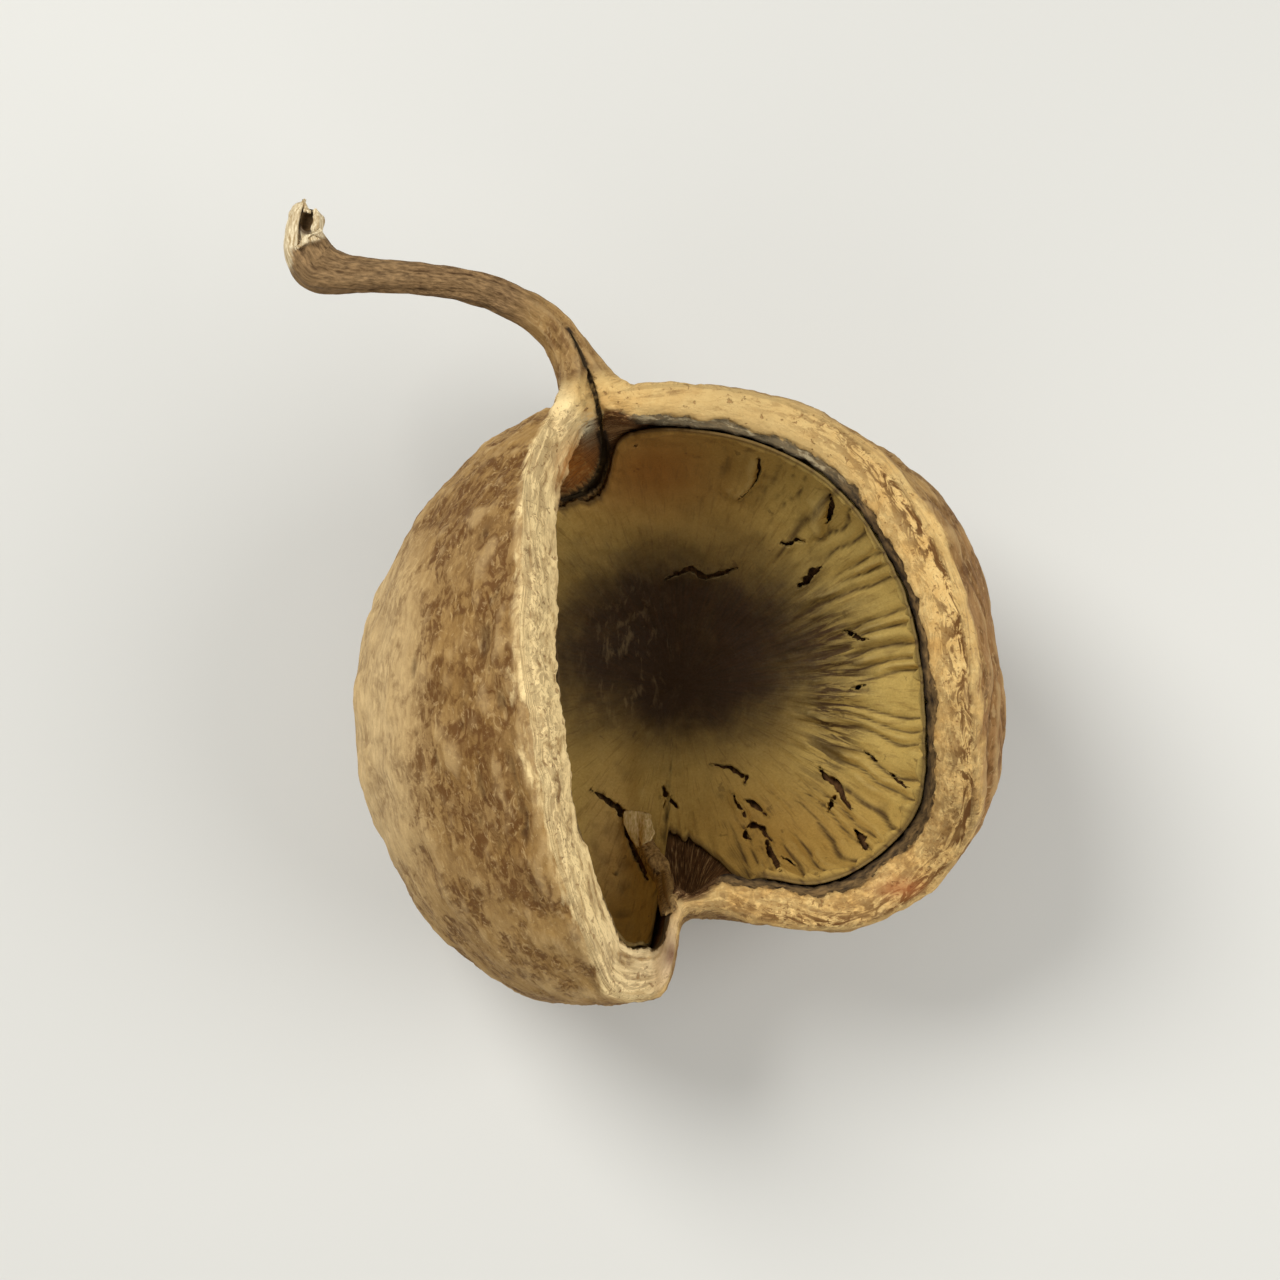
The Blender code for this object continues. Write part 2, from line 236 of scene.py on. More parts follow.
def faceOutwards(merge=0.0):  # turns the picked piece's faces out, after its doubles are merged
    bpy.ops.object.mode_set(mode="EDIT")
    bpy.ops.mesh.select_all(action="SELECT")
    if merge:
        bpy.ops.mesh.remove_doubles(threshold=merge)
    bpy.ops.mesh.normals_make_consistent(inside=False)
    bpy.ops.object.mode_set(mode="OBJECT")


def startPath(count, order):  # a path with room for so many points
    bpy.ops.object.select_all(action="DESELECT")
    bpy.ops.curve.primitive_nurbs_path_add(location=(0, 0, 0))
    path = bpy.context.object
    spline = path.data.splines[0]
    if count > len(spline.points):
        spline.points.add(count - len(spline.points))
    spline.order_u, spline.use_endpoint_u = order, True
    return path, spline.points


def fillPath(path, roundness, steps):  # makes the path a closed round body; its points' radii are in mm
    path.data.bevel_depth, path.data.bevel_resolution = mm, roundness
    path.data.resolution_u, path.data.use_fill_caps = steps, True
    pick(path)
    bpy.ops.object.convert(target="MESH")
    faceOutwards(merge=0.01 * mm)


def foldedSphere(name, rows, columns):  # a sphere whose upper rings are laid back into its lower half
    bpy.ops.object.select_all(action="DESELECT")
    bpy.ops.mesh.primitive_uv_sphere_add(segments=columns, ring_count=len(rows) - 1, radius=1)
    piece = bpy.context.object
    piece.name = piece.data.name = name
    start = readPoints(piece)
    turn = np.rint(np.arctan2(start[:, 1], start[:, 0]) / (2 * math.pi) * columns).astype(int) % columns
    ring = np.rint(np.arccos(np.clip(-start[:, 2], -1, 1)) / math.pi * (len(rows) - 1)).astype(int)
    writePoints(piece, toFloor(np.array(rows)[ring, turn]))
    faceOutwards()
    return piece


def keepFacts(piece, **facts):  # a value or a vector at each vertex, for the materials
    for name, values in facts.items():
        kind, field = ("FLOAT_VECTOR", "vector") if values.ndim == 2 else ("FLOAT", "value")
        layer = piece.data.attributes.new(name, kind, "POINT")
        layer.data.foreach_set(field, values.astype(np.float32).ravel())


def weighGroup(piece, name, weights):
    group = piece.vertex_groups.new(name=name)
    for index, weight in enumerate(weights):
        if weight > 0.01:
            group.add([index], float(weight), "REPLACE")


def hollowness(piece, rounds):  # 1 in a deep hollow, -1 on a sharp ridge
    points = readPoints(piece)
    edges = np.empty(len(piece.data.edges) * 2, np.int32)
    piece.data.edges.foreach_get("vertices", edges)
    a, b = edges.reshape(-1, 2).T
    count = np.maximum(np.bincount(np.r_[a, b], minlength=len(points)), 1)[:, None]
    soft = points.copy()
    for _ in range(rounds):
        total = np.zeros_like(soft)
        np.add.at(total, a, soft[b])
        np.add.at(total, b, soft[a])
        soft = total / count
    normals = np.empty(len(points) * 3, np.float32)
    piece.data.vertex_normals.foreach_get("vector", normals)
    depth = np.sum((soft - points) * normals.reshape(-1, 3), axis=1)
    return np.clip(depth / np.percentile(np.abs(depth), 94), -1, 1)


def castOnto(tree, spot):  # the point of a surface that stands at a photo point, and its normal
    x = (spot[0] - photo["middle"][0]) * photo["scale"]
    y = (photo["middle"][1] - spot[1]) * photo["scale"]
    eye = restPlace @ (Vector(photo["eye"]) * mm)
    aim = restPlace @ Vector((x * mm, y * mm, 0)) - eye
    place, normal, _, _ = tree.ray_cast(eye, aim.normalized())
    return place, normal


def castOnFirst(trees, spot):  # the same on whichever surface is seen first
    eye = restPlace @ (Vector(photo["eye"]) * mm)
    hits = [hit for hit in (castOnto(tree, spot) for tree in trees) if hit[0]]
    return min(hits, key=lambda hit: (hit[0] - eye).length)


sheetEdge = {"facets": 7, "raggedInside": 0.08, "raggedEdge": 0.3, "raggedSize": 1.25}  # facets in a net cell; mm


def makeSheet(name, net, thickness, trees=None):  # a small torn sheet through a net of photo points
    places = []
    rowCells, columnCells = len(net) - 1, len(net[0]) - 1
    for line in net:  # the third value is the height in the pod's frame, or the lift off the surface below
        for x, y, height in line:
            if trees:
                place, normal = castOnFirst(trees, (x, y))
                places.append(place + normal * height * mm)
            else:
                grow = (photo["eye"][2] - height) / photo["eye"][2]
                flat = [(x - photo["middle"][0]) * photo["scale"], (photo["middle"][1] - y) * photo["scale"]]
                flat = [photo["eye"][k] + (flat[k] - photo["eye"][k]) * grow for k in (0, 1)]
                places.append(restPlace @ (Vector((*flat, height)) * mm))
    net3d = np.array(places).reshape(len(net), len(net[0]), 3)
    bpy.ops.object.select_all(action="DESELECT")
    bpy.ops.mesh.primitive_grid_add(x_subdivisions=columnCells * sheetEdge["facets"],
                                    y_subdivisions=rowCells * sheetEdge["facets"], size=2)
    sheet = bpy.context.object
    sheet.name = name
    start = readPoints(sheet)
    u, v = (start[:, 0] + 1) / 2 * columnCells, (start[:, 1] + 1) / 2 * rowCells
    column, row = np.minimum(u.astype(int), columnCells - 1), np.minimum(v.astype(int), rowCells - 1)
    fu, fv = (u - column)[:, None], (v - row)[:, None]
    laid = ((net3d[row, column] * (1 - fu) + net3d[row, column + 1] * fu) * (1 - fv)
            + (net3d[row + 1, column] * (1 - fu) + net3d[row + 1, column + 1] * fu) * fv)
    edge = np.maximum(np.abs(start[:, 0]), np.abs(start[:, 1]))[:, None] ** 6
    finer = 1 / (sheetEdge["raggedSize"] * mm)
    ragged = np.array([noise.noise_vector(Vector(p) * finer) for p in laid]) * mm
    writePoints(sheet, laid + ragged * (sheetEdge["raggedInside"] + sheetEdge["raggedEdge"] * edge))
    pick(sheet)
    bpy.ops.object.modifier_add(type="SMOOTH")
    applyLast(sheet, factor=0.5, iterations=2)
    bpy.ops.object.modifier_add(type="SOLIDIFY")
    applyLast(sheet, thickness=thickness * mm, offset=-1)
    faceOutwards()
    return sheet


def fineLine(spots, perSpan):  # points along a bent line between photo points
    knots = np.array(spots, float)
    steps = np.linspace(0, len(knots) - 1, (len(knots) - 1) * perSpan + 1)
    return [tuple(float(np.interp(step, range(len(knots)), knots[:, k])) for k in (0, 1)) for step in steps]


crackEdge = {"tip": 0.14, "bend": 0.3, "bendScale": 1300, "swell": 0.9, "swellScale": 1700}  # mm; noise a metre


def crackTool(tree, spots, halfWidth, sink=0.2, rough=1.0):  # a rough tapering body that cuts a crack
    line = [castOnto(tree, spot) for spot in fineLine(spots, 6)]
    line = [(place, normal) for place, normal in line if place]
    crack, stations = startPath(len(line), 2)
    for index, (point, (place, normal)) in enumerate(zip(stations, line + [line[-1]] * 3)):
        share = index / max(len(line) - 1, 1)
        jitter = noise.noise_vector(place * crackEdge["bendScale"]) * crackEdge["bend"] * rough * mm
        point.co = (*(place + jitter - normal * sink * mm), 1)
        taper = math.sin(math.pi * min(max(share, 0.03), 0.97)) ** 0.7
        point.radius = crackEdge["tip"] + (halfWidth - crackEdge["tip"]) * taper * (
            1 + crackEdge["swell"] * rough * noise.noise(place * crackEdge["swellScale"]))
    fillPath(crack, 2, 1)
    return crack


def addTo(piece, sheet):  # grows a finished sheet onto the piece that it belongs to
    pick(piece)
    sheet.select_set(True)
    bpy.ops.object.join()


def treeOf(piece):
    return BVHTree.FromObject(piece, bpy.context.evaluated_depsgraph_get())


# ---- woody wall with its lips
shell = {
    "columns": 400, "outsideRings": 92, "insideRings": 42,
    "lipFace": [  # share of the thickness, and how far the face stands back there in roundings
        (0, 0.9), (0.05, 0.42), (0.11, 0.18), (0.2, 0.04), (0.3, -0.08), (0.4, -0.14), (0.5, -0.14), (0.6, -0.05),
        (0.68, 0.05), (0.74, 0.2), (0.77, 0.55), (0.79, 0.95), (0.83, 1.1), (0.88, 1.2), (0.94, 1.35), (0.985, 1.6)],
    "edgeWander": 0.45,  # mm that the lip's edge wanders
    "bandWander": 0.085,  # share of the thickness
    "grooveDepth": 1.0,  # grooves that follow the lip outside
    "tipRidge": 1.8, "tipHollow": 2.2,
    "stalkGaps": {  # photo points along each dark gap, and its half width in mm
        "besideLining": ([(601, 432), (605, 446), (604, 462), (600, 476), (592, 487), (578, 495), (562, 500)], 0.95),
        "slit": ([(569, 330), (575, 341), (581, 354), (587, 369), (592, 384), (596, 398), (599, 412), (601, 426),
                  (602, 442), (602, 452)], 0.46)},
    "gapSinks": (1.1, 0.2),  # mm under the surface of the two cuts that make each gap
    "spots": {  # coloured places inside: photo point and half widths
        "orangePocket": (576, 466, 20, 24), "greyFibres": (588, 428, 9, 15), "brownFibres": (613, 427, 24, 20),
        "brownTip": (690, 870, 32, 36)},
}


def lipLine(azimuth):
    torn = 1 + 1.3 * hump(turnBetween(azimuth, 270), 0, 7)
    return loopValue(pod["lipReach"], azimuth) + shell["edgeWander"] * torn * (
        roundTheLip(azimuth, 6.0, 1) + 0.12 * roundTheLip(azimuth, 2.6, 2))


def barkRadius(azimuth, reach):  # outside of the wall with the long grooves beside the lip
    radius = outerRadius(azimuth, reach)
    away = np.radians(loopValue(pod["lipReach"], azimuth) - reach) * radius
    wander = 1.6 * np.sin(np.radians(azimuth * 5)) + 1.1 * np.sin(np.radians(azimuth * 11 + 40))
    right = hump(turnBetween(azimuth, 345), 0, 62)
    left = hump(turnBetween(azimuth, 195), 0, 58)
    groove = right * (hump(away, 8.5 + wander, 1.5) + 0.7 * hump(away, 14.5 - wander, 1.9)
                      + 0.5 * hump(away, 22 + wander, 2.6))
    groove = groove + left * (0.6 * hump(away, 7.0 + 0.6 * wander, 1.6) + 0.4 * hump(away, 12.5 - wander, 1.8))
    return radius - shell["grooveDepth"] * groove


def wallInside(azimuth, reach):  # inside of the wall, with the thin ridge and the torn hollow beside the tip's fold
    behind = np.clip(pod["innerStep"]["reach"] - reach, 0, None)
    turn = turnBetween(azimuth, pod["innerStep"]["azimuth"] - pod["innerLean"] * behind ** 3)
    fade = ease(behind, -2, 3) * ease(behind, 62, 30)
    ridge = shell["tipRidge"] * hump(turn, 2.0 + 0.03 * behind, 1.7 + 0.03 * behind)
    hollow = shell["tipHollow"] * hump(turn, 9.0, 4.6) * ease(behind, 2, 12)
    return innerRadius(azimuth, reach) + (hollow - ridge) * fade


def leftLobe(azimuth):
    return ease(np.abs(turnBetween(azimuth, 187.5)), 79.5, 75)


def bandWander(azimuth, share):  # the grey layer under the cork comes and goes along the lip
    wander = roundTheLip(azimuth, 7.0, 14) + 0.5 * roundTheLip(azimuth, 2.6, 15)
    return shell["bandWander"] * wander * hump(share, 0.78, 0.14)


def makeShell():
    azimuth = crowdedAzimuths(shell["columns"], pod["crowding"])
    lip = lipLine(azimuth)
    outside = barkRadius(azimuth, lip)
    width = outside - wallInside(azimuth, lip)
    corner = np.degrees(pod["lipRounding"] / outside)
    rows = []
    for share in ringStops(shell["outsideRings"]):
        reach = share * (lip - 1.25 * corner)
        rows.append(direction(azimuth, reach) * barkRadius(azimuth, reach)[:, None])
    for share, back in shell["lipFace"]:
        rounded = max((0.2 - share) / 0.2, 0, (share - 0.8) / 0.2) ** 2 * 1.1  # the left lobe's lip is a plain roll
        back = back + leftLobe(azimuth) * (rounded - back)
        share = share + bandWander(azimuth, share)
        rows.append(direction(azimuth, lip - back * corner) * (outside - share * width)[:, None])
    for share in ringStops(shell["insideRings"])[::-1]:
        reach = share * (lip - 1.8 * corner)
        rows.append(direction(azimuth, reach) * wallInside(azimuth, reach)[:, None])
    return foldedSphere("woodyWall", rows, shell["columns"])


# ---- stalk, with the shoulders and the keel where it grows out of the wall
stalk = {
    "sides": 38,
    "line": [  # x, y, z and radius
        (-15.6, 46.5, 1.0, 4.0), (-16.6, 50.5, 2.2, 3.8), (-17.5, 54.0, 2.8, 3.5), (-18.9, 57.8, 3.0, 3.3),
        (-21.4, 61.3, 3.2, 3.1), (-25.5, 64.3, 2.8, 3.0), (-30.6, 66.8, 2.2, 2.9), (-36.8, 68.8, 1.6, 2.8),
        (-43.6, 69.8, 1.0, 2.7), (-50.6, 70.2, 0.6, 2.8), (-56.8, 70.6, 0.4, 3.2), (-61.6, 71.6, 0.3, 4.4),
        (-63.7, 75.0, 0.3, 3.9), (-64.2, 79.0, 0.3, 2.9), (-63.9, 81.6, 0.3, 1.9)],
    "rightShoulder": [
        (-0.6, 48.6, 2.0, 1.5), (-5.0, 47.8, 3.8, 2.8), (-9.4, 48.2, 4.2, 3.3), (-12.8, 50.8, 3.8, 3.0),
        (-15.2, 54.2, 3.4, 2.5), (-17.8, 58.6, 3.0, 1.9)],
    "leftShoulder": [
        (-22.8, 39.0, 14.0, 1.6), (-20.4, 43.6, 12.6, 2.6), (-18.0, 48.4, 9.0, 2.6), (-17.7, 52.6, 5.8, 2.4),
        (-18.6, 58.0, 3.4, 2.2)],
    "keel": [
        (-18.6, 56.5, 2.2, 2.4), (-16.8, 51.8, -2.2, 3.0), (-15.0, 48.0, -8.0, 2.7), (-13.4, 45.6, -14.0, 2.0),
        (-12.0, 42.0, -19.0, 1.4)],
    "ridges": 7, "ridgeDepth": 0.16, "lumps": 0.22,
    "furrows": [(0.55, 1.15, 0.07), (0.45, 2.5, 0.06)],  # depth, place round the stalk and width
}


def alongBranch(points, stations):  # how far along in mm, angle round it, and distance over radius
    knots = np.array(stations)
    steps = np.linspace(0, len(knots) - 1, 400)
    line = np.stack([np.interp(steps, np.arange(len(knots)), knots[:, k]) for k in range(4)], -1)
    length = np.r_[0, np.cumsum(np.linalg.norm(np.diff(line[:, :3], axis=0), axis=1))]
    nearest = np.empty(len(points), int)
    for start in range(0, len(points), 4000):
        gap = points[start:start + 4000, None, :] - line[None, :, :3]
        nearest[start:start + 4000] = np.argmin(np.einsum("ijk,ijk->ij", gap, gap), axis=1)
    ahead = np.gradient(line[:, :3], axis=0)
    ahead /= np.linalg.norm(ahead, axis=1)[:, None]
    side = np.cross(ahead, (0, 0, 1))
    side /= np.linalg.norm(side, axis=1)[:, None]
    up = np.cross(side, ahead)
    off = points - line[nearest, :3]
    angle = np.arctan2(np.sum(off * up[nearest], 1), np.sum(off * side[nearest], 1))
    return length[nearest], angle, np.linalg.norm(off, axis=1) / line[nearest, 3]


def makeBranch(name, stations, sides, steps):
    branch, pathPoints = startPath(len(stations), 3)
    branch.name = name
    for point, (x, y, z, radius) in zip(pathPoints, stations):
        point.co = (*(Vector((x, y, z)) * mm), 1)
        point.radius = radius
    fillPath(branch, (sides - 4) // 2, steps)
    points = readPoints(branch) / mm  # long ridges and furrows in the bark of the stalk
    along, angle, _ = alongBranch(points, stations)
    middle = np.array(stations)[:, :3]
    nearest = middle[np.argmin(np.linalg.norm(points[:, None] - middle[None], axis=2), axis=1)]
    twist = angle + 0.5 * np.sin(along / 13)
    ridge = stalk["ridgeDepth"] * np.cos(stalk["ridges"] * twist) + 0.1 * np.cos(13 * twist + along / 5)
    for depth, place, width in stalk["furrows"]:
        ridge = ridge - depth * hump(np.sin((twist - place) / 2), 0, width)
    ridge = ridge + stalk["lumps"] * roughness(points, 4.0, 5, 2)
    outward = points - nearest
    outward /= np.maximum(np.linalg.norm(outward, axis=1), 0.5)[:, None]
    writePoints(branch, toFloor(points + outward * ridge[:, None]))
    return branch


print("Shaping the woody wall")
wall = makeShell()
print("Growing the stalk")
branches = makeBranch("stalk", stalk["line"], stalk["sides"], 8)
for name in ("rightShoulder", "leftShoulder", "keel"):
    shapeWith(branches, makeBranch(name, stalk[name], 26, 8), "UNION")
shapeWith(wall, branches, "UNION")

bpy.ops.object.select_all(action="DESELECT")
bpy.ops.mesh.primitive_cube_add(size=0.2, location=(0, 0, -0.1))
shapeWith(wall, bpy.context.object, "DIFFERENCE")  # the flat spot that it rests on


def seenAt(points):  # where points in the pod's frame stand in the photograph, in its pixels
    eye = np.array(photo["eye"])
    grow = (eye[2] / (eye[2] - points[:, 2]))[:, None]
    flat = eye[:2] + (points[:, :2] - eye[:2]) * grow
    return photo["middle"][0] + flat[:, 0] / photo["scale"], photo["middle"][1] - flat[:, 1] / photo["scale"]


def surfaceFacts(points):
    distance = np.linalg.norm(points, axis=1)
    azimuth = np.degrees(np.arctan2(points[:, 1], points[:, 0])) % 360
    reach = np.degrees(np.arccos(np.clip(-points[:, 2] / distance, -1, 1)))
    outside, inside = outerRadius(azimuth, reach), innerRadius(azimuth, reach)
    fromLip = np.radians(lipLine(azimuth) - reach) * distance
    return azimuth, reach, distance, (outside - distance) / (outside - inside), fromLip


print("Marking lips, bark, stalk and inside")
points = toPod(readPoints(wall))
azimuth, reach, distance, share, fromLip = surfaceFacts(points)
along, angle, offLine = alongBranch(points, stalk["line"])
proud = distance - outerRadius(azimuth, reach)
onStalk = ease(proud, 0.8, 5.0)
onLip = ease(fromLip, 2.6, 1.0) * ease(share, 0.02, 0.12) * (1 - onStalk)
inWall = ease(share, 0.82, 0.97) * (1 - onStalk)
seam = ease(np.abs(proud), 4.2, 0.6) * ease(offLine, 2.3, 1.25) * ease(points[:, 1], 36, 44)
weighGroup(wall, "seam", seam)
pick(wall)
bpy.ops.object.modifier_add(type="SMOOTH")
applyLast(wall, factor=0.5, iterations=14, vertex_group="seam")

meridian = np.maximum(np.hypot(points[:, 0], points[:, 2] + 4), 4)[:, None]
fibreBody = np.stack([points[:, 0], points[:, 2] + 4], -1) / meridian * 50
fibre = np.stack([fibreBody[:, 0], points[:, 1] / 3.2, fibreBody[:, 1]], -1)
fibreStalk = np.stack([4.2 * np.cos(angle), along / 3.2, 4.2 * np.sin(angle)], -1)
fibre = fibre + (fibreStalk - fibre) * onStalk[:, None]
ringTurn = np.radians(azimuth)
fibreLip = np.stack([np.cos(ringTurn) * 16, np.sin(ringTurn) * 16, share * 9], -1)
fibre = fibre + (fibreLip - fibre) * ease(onLip, 0.2, 0.6)[:, None]
spotX, spotY = seenAt(points)
stalkLength = along.max()
brokenOff = np.maximum(ease(spotY + (spotX - 297) / 3, 249, 245), ease(spotX, 293, 290) * ease(spotY, 272, 265))
nearOutline = np.maximum(ease(np.abs(turnBetween(azimuth, 352)), 100, 45), 0.45 * leftLobe(azimuth))


def around(x, y, acrossX, acrossY):  # 1 at a photo point, fading over two half widths in pixels
    return hump(np.hypot((spotX - x) / acrossX, (spotY - y) / acrossY), 0, 1)


keepFacts(
    wall, roundLip=fibreLip, fibre=fibre,
    thickShare=np.clip(share - bandWander(azimuth, share) - 0.2 * leftLobe(azimuth), 0, 1),
    fromLip=np.clip(fromLip, -3, 40),
    onStalk=onStalk,
    stalkEnd=ease(along, 12, 34) * onStalk,
    torn=ease(along, stalkLength - 14.0, stalkLength - 12.5) * onStalk * brokenOff,
    lowerRight=ease(turnBetween(azimuth, 325), 60, 15) * ease(-turnBetween(azimuth, 325), 75, 30),
    redStain=around(900, 888, 24, 10) * onLip,
    # painted shade: the right back of the bark, darker away from the light
    rightBack=ease(spotX, 900, 985) * (1 - onLip),
    # painted light: the left flank of the bark, paler where light falls on it
    paleFlank=ease(spotX, 450, 375) * (1 - onLip),
    midBand=hump(spotX, 495, 62) * ease(spotY, 420, 500) * ease(spotY, 960, 840),
    wornRim=onLip * nearOutline,
    rolledLip=leftLobe(azimuth),
    tipPale=around(645, 955, 42, 42) * onLip,
    tipRed=around(671, 955, 7, 15),
    greyTop=hump(turnBetween(azimuth, 78), 0, 26))
for name, spot in shell["spots"].items():
    keepFacts(wall, **{name: around(*spot) * ease(share, 0.2, 0.5)})

relief = {  # Displace passes: texture size, noise depth, stretch along the fibre, strength, group
    "broadLumps": (11.0, 1, 1.0, 1.5, "bark"),
    "barkRidges": (3.4, 2, 2.6, 1.0, "bark"),
    "barkFine": (1.5, 1, 2.2, 0.42, "bark"),
    "corkLumps": (3.0, 2, 1.3, 0.8, "cork"),
    "corkPits": (1.3, 1, 1.0, 0.5, "cork"),
    "innerFibres": (2.0, 2, 3.0, 0.7, "inside"),
    "bandFibres": (1.1, 2, 1.0, 1.0, "band"),
}
aboveFloor = ease(readPoints(wall)[:, 2] / mm, 0.2, 2.5)
weighGroup(wall, "bark", (1 - onLip) * (1 - inWall) * (1 - 0.75 * onStalk) * aboveFloor)
weighGroup(wall, "cork", onLip)
weighGroup(wall, "inside", inWall)
weighGroup(wall, "band", ease(share, 0.7, 0.8) * ease(fromLip, 5.0, 2.0) * (1 - onStalk) * (1 - leftLobe(azimuth)))


def roughen(piece, passes):
    bpy.ops.object.select_all(action="DESELECT")
    bpy.ops.object.empty_add(rotation=(math.radians(pod["lean"]), 0, 0))
    guide = bpy.context.object
    for name, (size, depth, stretch, strength, group) in passes.items():
        guide.scale = (1, stretch, 1)
        bpy.context.view_layer.update()
        texture = bpy.data.textures.new(name, "CLOUDS")
        texture.noise_scale, texture.noise_depth = size * mm, depth
        pick(piece)
        bpy.ops.object.modifier_add(type="DISPLACE")
        applyLast(piece, texture=texture, texture_coords="OBJECT", texture_coords_object=guide,
                  strength=strength * mm, mid_level=0.5, vertex_group=group)
    bpy.data.objects.remove(guide, do_unlink=True)


print("Roughening the bark and the cork")
roughen(wall, relief)
# the hollow fact feeds painted shade in hollows and painted highlights on ridges
keepFacts(wall, hollow=hollowness(wall, 6))

# ---- torn end of the stalk: a hollow in the broken wood, with pale sheets of fibre round it
tornEnd = {
    "coreNet": [[(306, 218, 3.4), (307, 218, 3.4)], [(306, 220, 3.4), (307, 220, 3.4)]],  # round the hollow's middle
    "coreRadii": (1.25, 2.1, 2.6), "coreRough": 0.35,  # mm
    "sheets": {  # photo points and height in the pod's frame
        "leftStrip": [
            [(290, 268, 1.4), (293, 266, 2.8), (297, 263, 3.4)], [(287, 247, 1.0), (291, 245, 3.4), (296, 243, 4.2)],
            [(287, 229, 0.8), (292, 228, 3.3), (297, 228, 3.8)], [(289, 213, 0.8), (294, 212, 2.9), (299, 211, 3.1)],
            [(293, 205, 0.4), (298, 202, 1.5), (305, 200, 1.8)]],
        "rightFlap": [
            [(312, 237, 3.0), (318, 237, 3.4), (322, 238, 2.2)], [(311, 230, 3.7), (318, 229, 4.5), (324, 230, 2.6)],
            [(314, 220, 3.3), (319, 219, 3.9), (325, 221, 2.3)], [(313, 210, 2.4), (317, 208, 2.6), (321, 213, 1.8)]],
        "ridge": [
            [(295, 247, 3.9), (303, 240, 4.7), (312, 234, 5.0), (320, 229, 4.5)],
            [(298, 249, 3.9), (306, 242, 4.8), (314, 236, 5.1), (322, 232, 4.4)]],
        "topShred": [
            [(303, 212, 2.4), (307, 211, 2.8), (311, 212, 2.4)], [(302, 204, 1.6), (306, 204, 2.0), (309, 208, 1.4)],
            [(303, 199, 0.9), (304, 198, 1.1), (306, 201, 0.9)]],
    },
}
crest = {  # the fibrous ridge beside the tip's groove
    "line": [(641, 837, 0.3), (647, 849, 0.8), (655, 865, 1.0), (663, 882, 1.0), (668, 899, 0.8),
             (671, 914, 0.4)],  # photo point, share of the full height
    "strands": [  # pixels across, lift in mm
        (-7, -0.3), (-4.5, 0.9), (-2, 0.4), (0.5, 1.5), (2.5, 0.8), (4.5, 1.3), (7, -0.6)],
}
corePlace = makeSheet("coreProbe", tornEnd["coreNet"], 0.1)  # only its middle is used
coreMiddle = Vector(readPoints(corePlace).mean(axis=0))
bpy.data.objects.remove(corePlace, do_unlink=True)
bpy.ops.object.select_all(action="DESELECT")
bpy.ops.mesh.primitive_uv_sphere_add(segments=28, ring_count=20, radius=1)
core = bpy.context.object
coreSize = Matrix.Diagonal((*(radius * mm for radius in tornEnd["coreRadii"]), 1))
core.data.transform(Matrix.Translation(coreMiddle) @ restTurn @ coreSize)
coreRough = np.array([noise.noise_vector(Vector(p) * 900) for p in readPoints(core)])
writePoints(core, readPoints(core) + coreRough * tornEnd["coreRough"] * mm)
shapeWith(wall, core, "DIFFERENCE")
fromCore = ((readPoints(wall) - np.array(coreMiddle)) / mm) @ turnRows / np.array(tornEnd["coreRadii"])
keepFacts(wall, tornCore=0.9 * ease(np.linalg.norm(fromCore, axis=1), 1.6, 1.2))
wallTree = treeOf(wall)


def growFibres(sheet, **facts):  # joins a sheet of fibres to the wall with its own finish
    for fact, value in facts.items():
        keepFacts(sheet, **{fact: np.full(len(sheet.data.vertices), value)})
    keepFacts(sheet, fibre=toPod(readPoints(sheet)) * (1, 0.16, 1))
    addTo(wall, sheet)


for spots, halfWidth in shell["stalkGaps"].values():
    for sink in shell["gapSinks"]:
        shapeWith(wall, crackTool(wallTree, spots, halfWidth, sink, 0.35), "DIFFERENCE")
# painted shade: black along the gaps beside the lining and in the stalk's slit
gapDark = np.zeros(len(wall.data.vertices))
for spots, halfWidth in shell["stalkGaps"].values():
    for spot in fineLine(spots, 8):
        place, normal = castOnto(wallTree, spot)
        for sink in shell["gapSinks"]:
            away = np.linalg.norm(readPoints(wall) - np.array(place - normal * sink * mm), axis=1) / mm
            gapDark = np.maximum(gapDark, ease(away, 1.3 * halfWidth, 0.95 * halfWidth))
keepFacts(wall, gapDark=gapDark)
for name, net in tornEnd["sheets"].items():
    growFibres(makeSheet(name, net, 0.45), fromLip=30.0, onStalk=1.0, torn=1.0, stalkEnd=1.0)

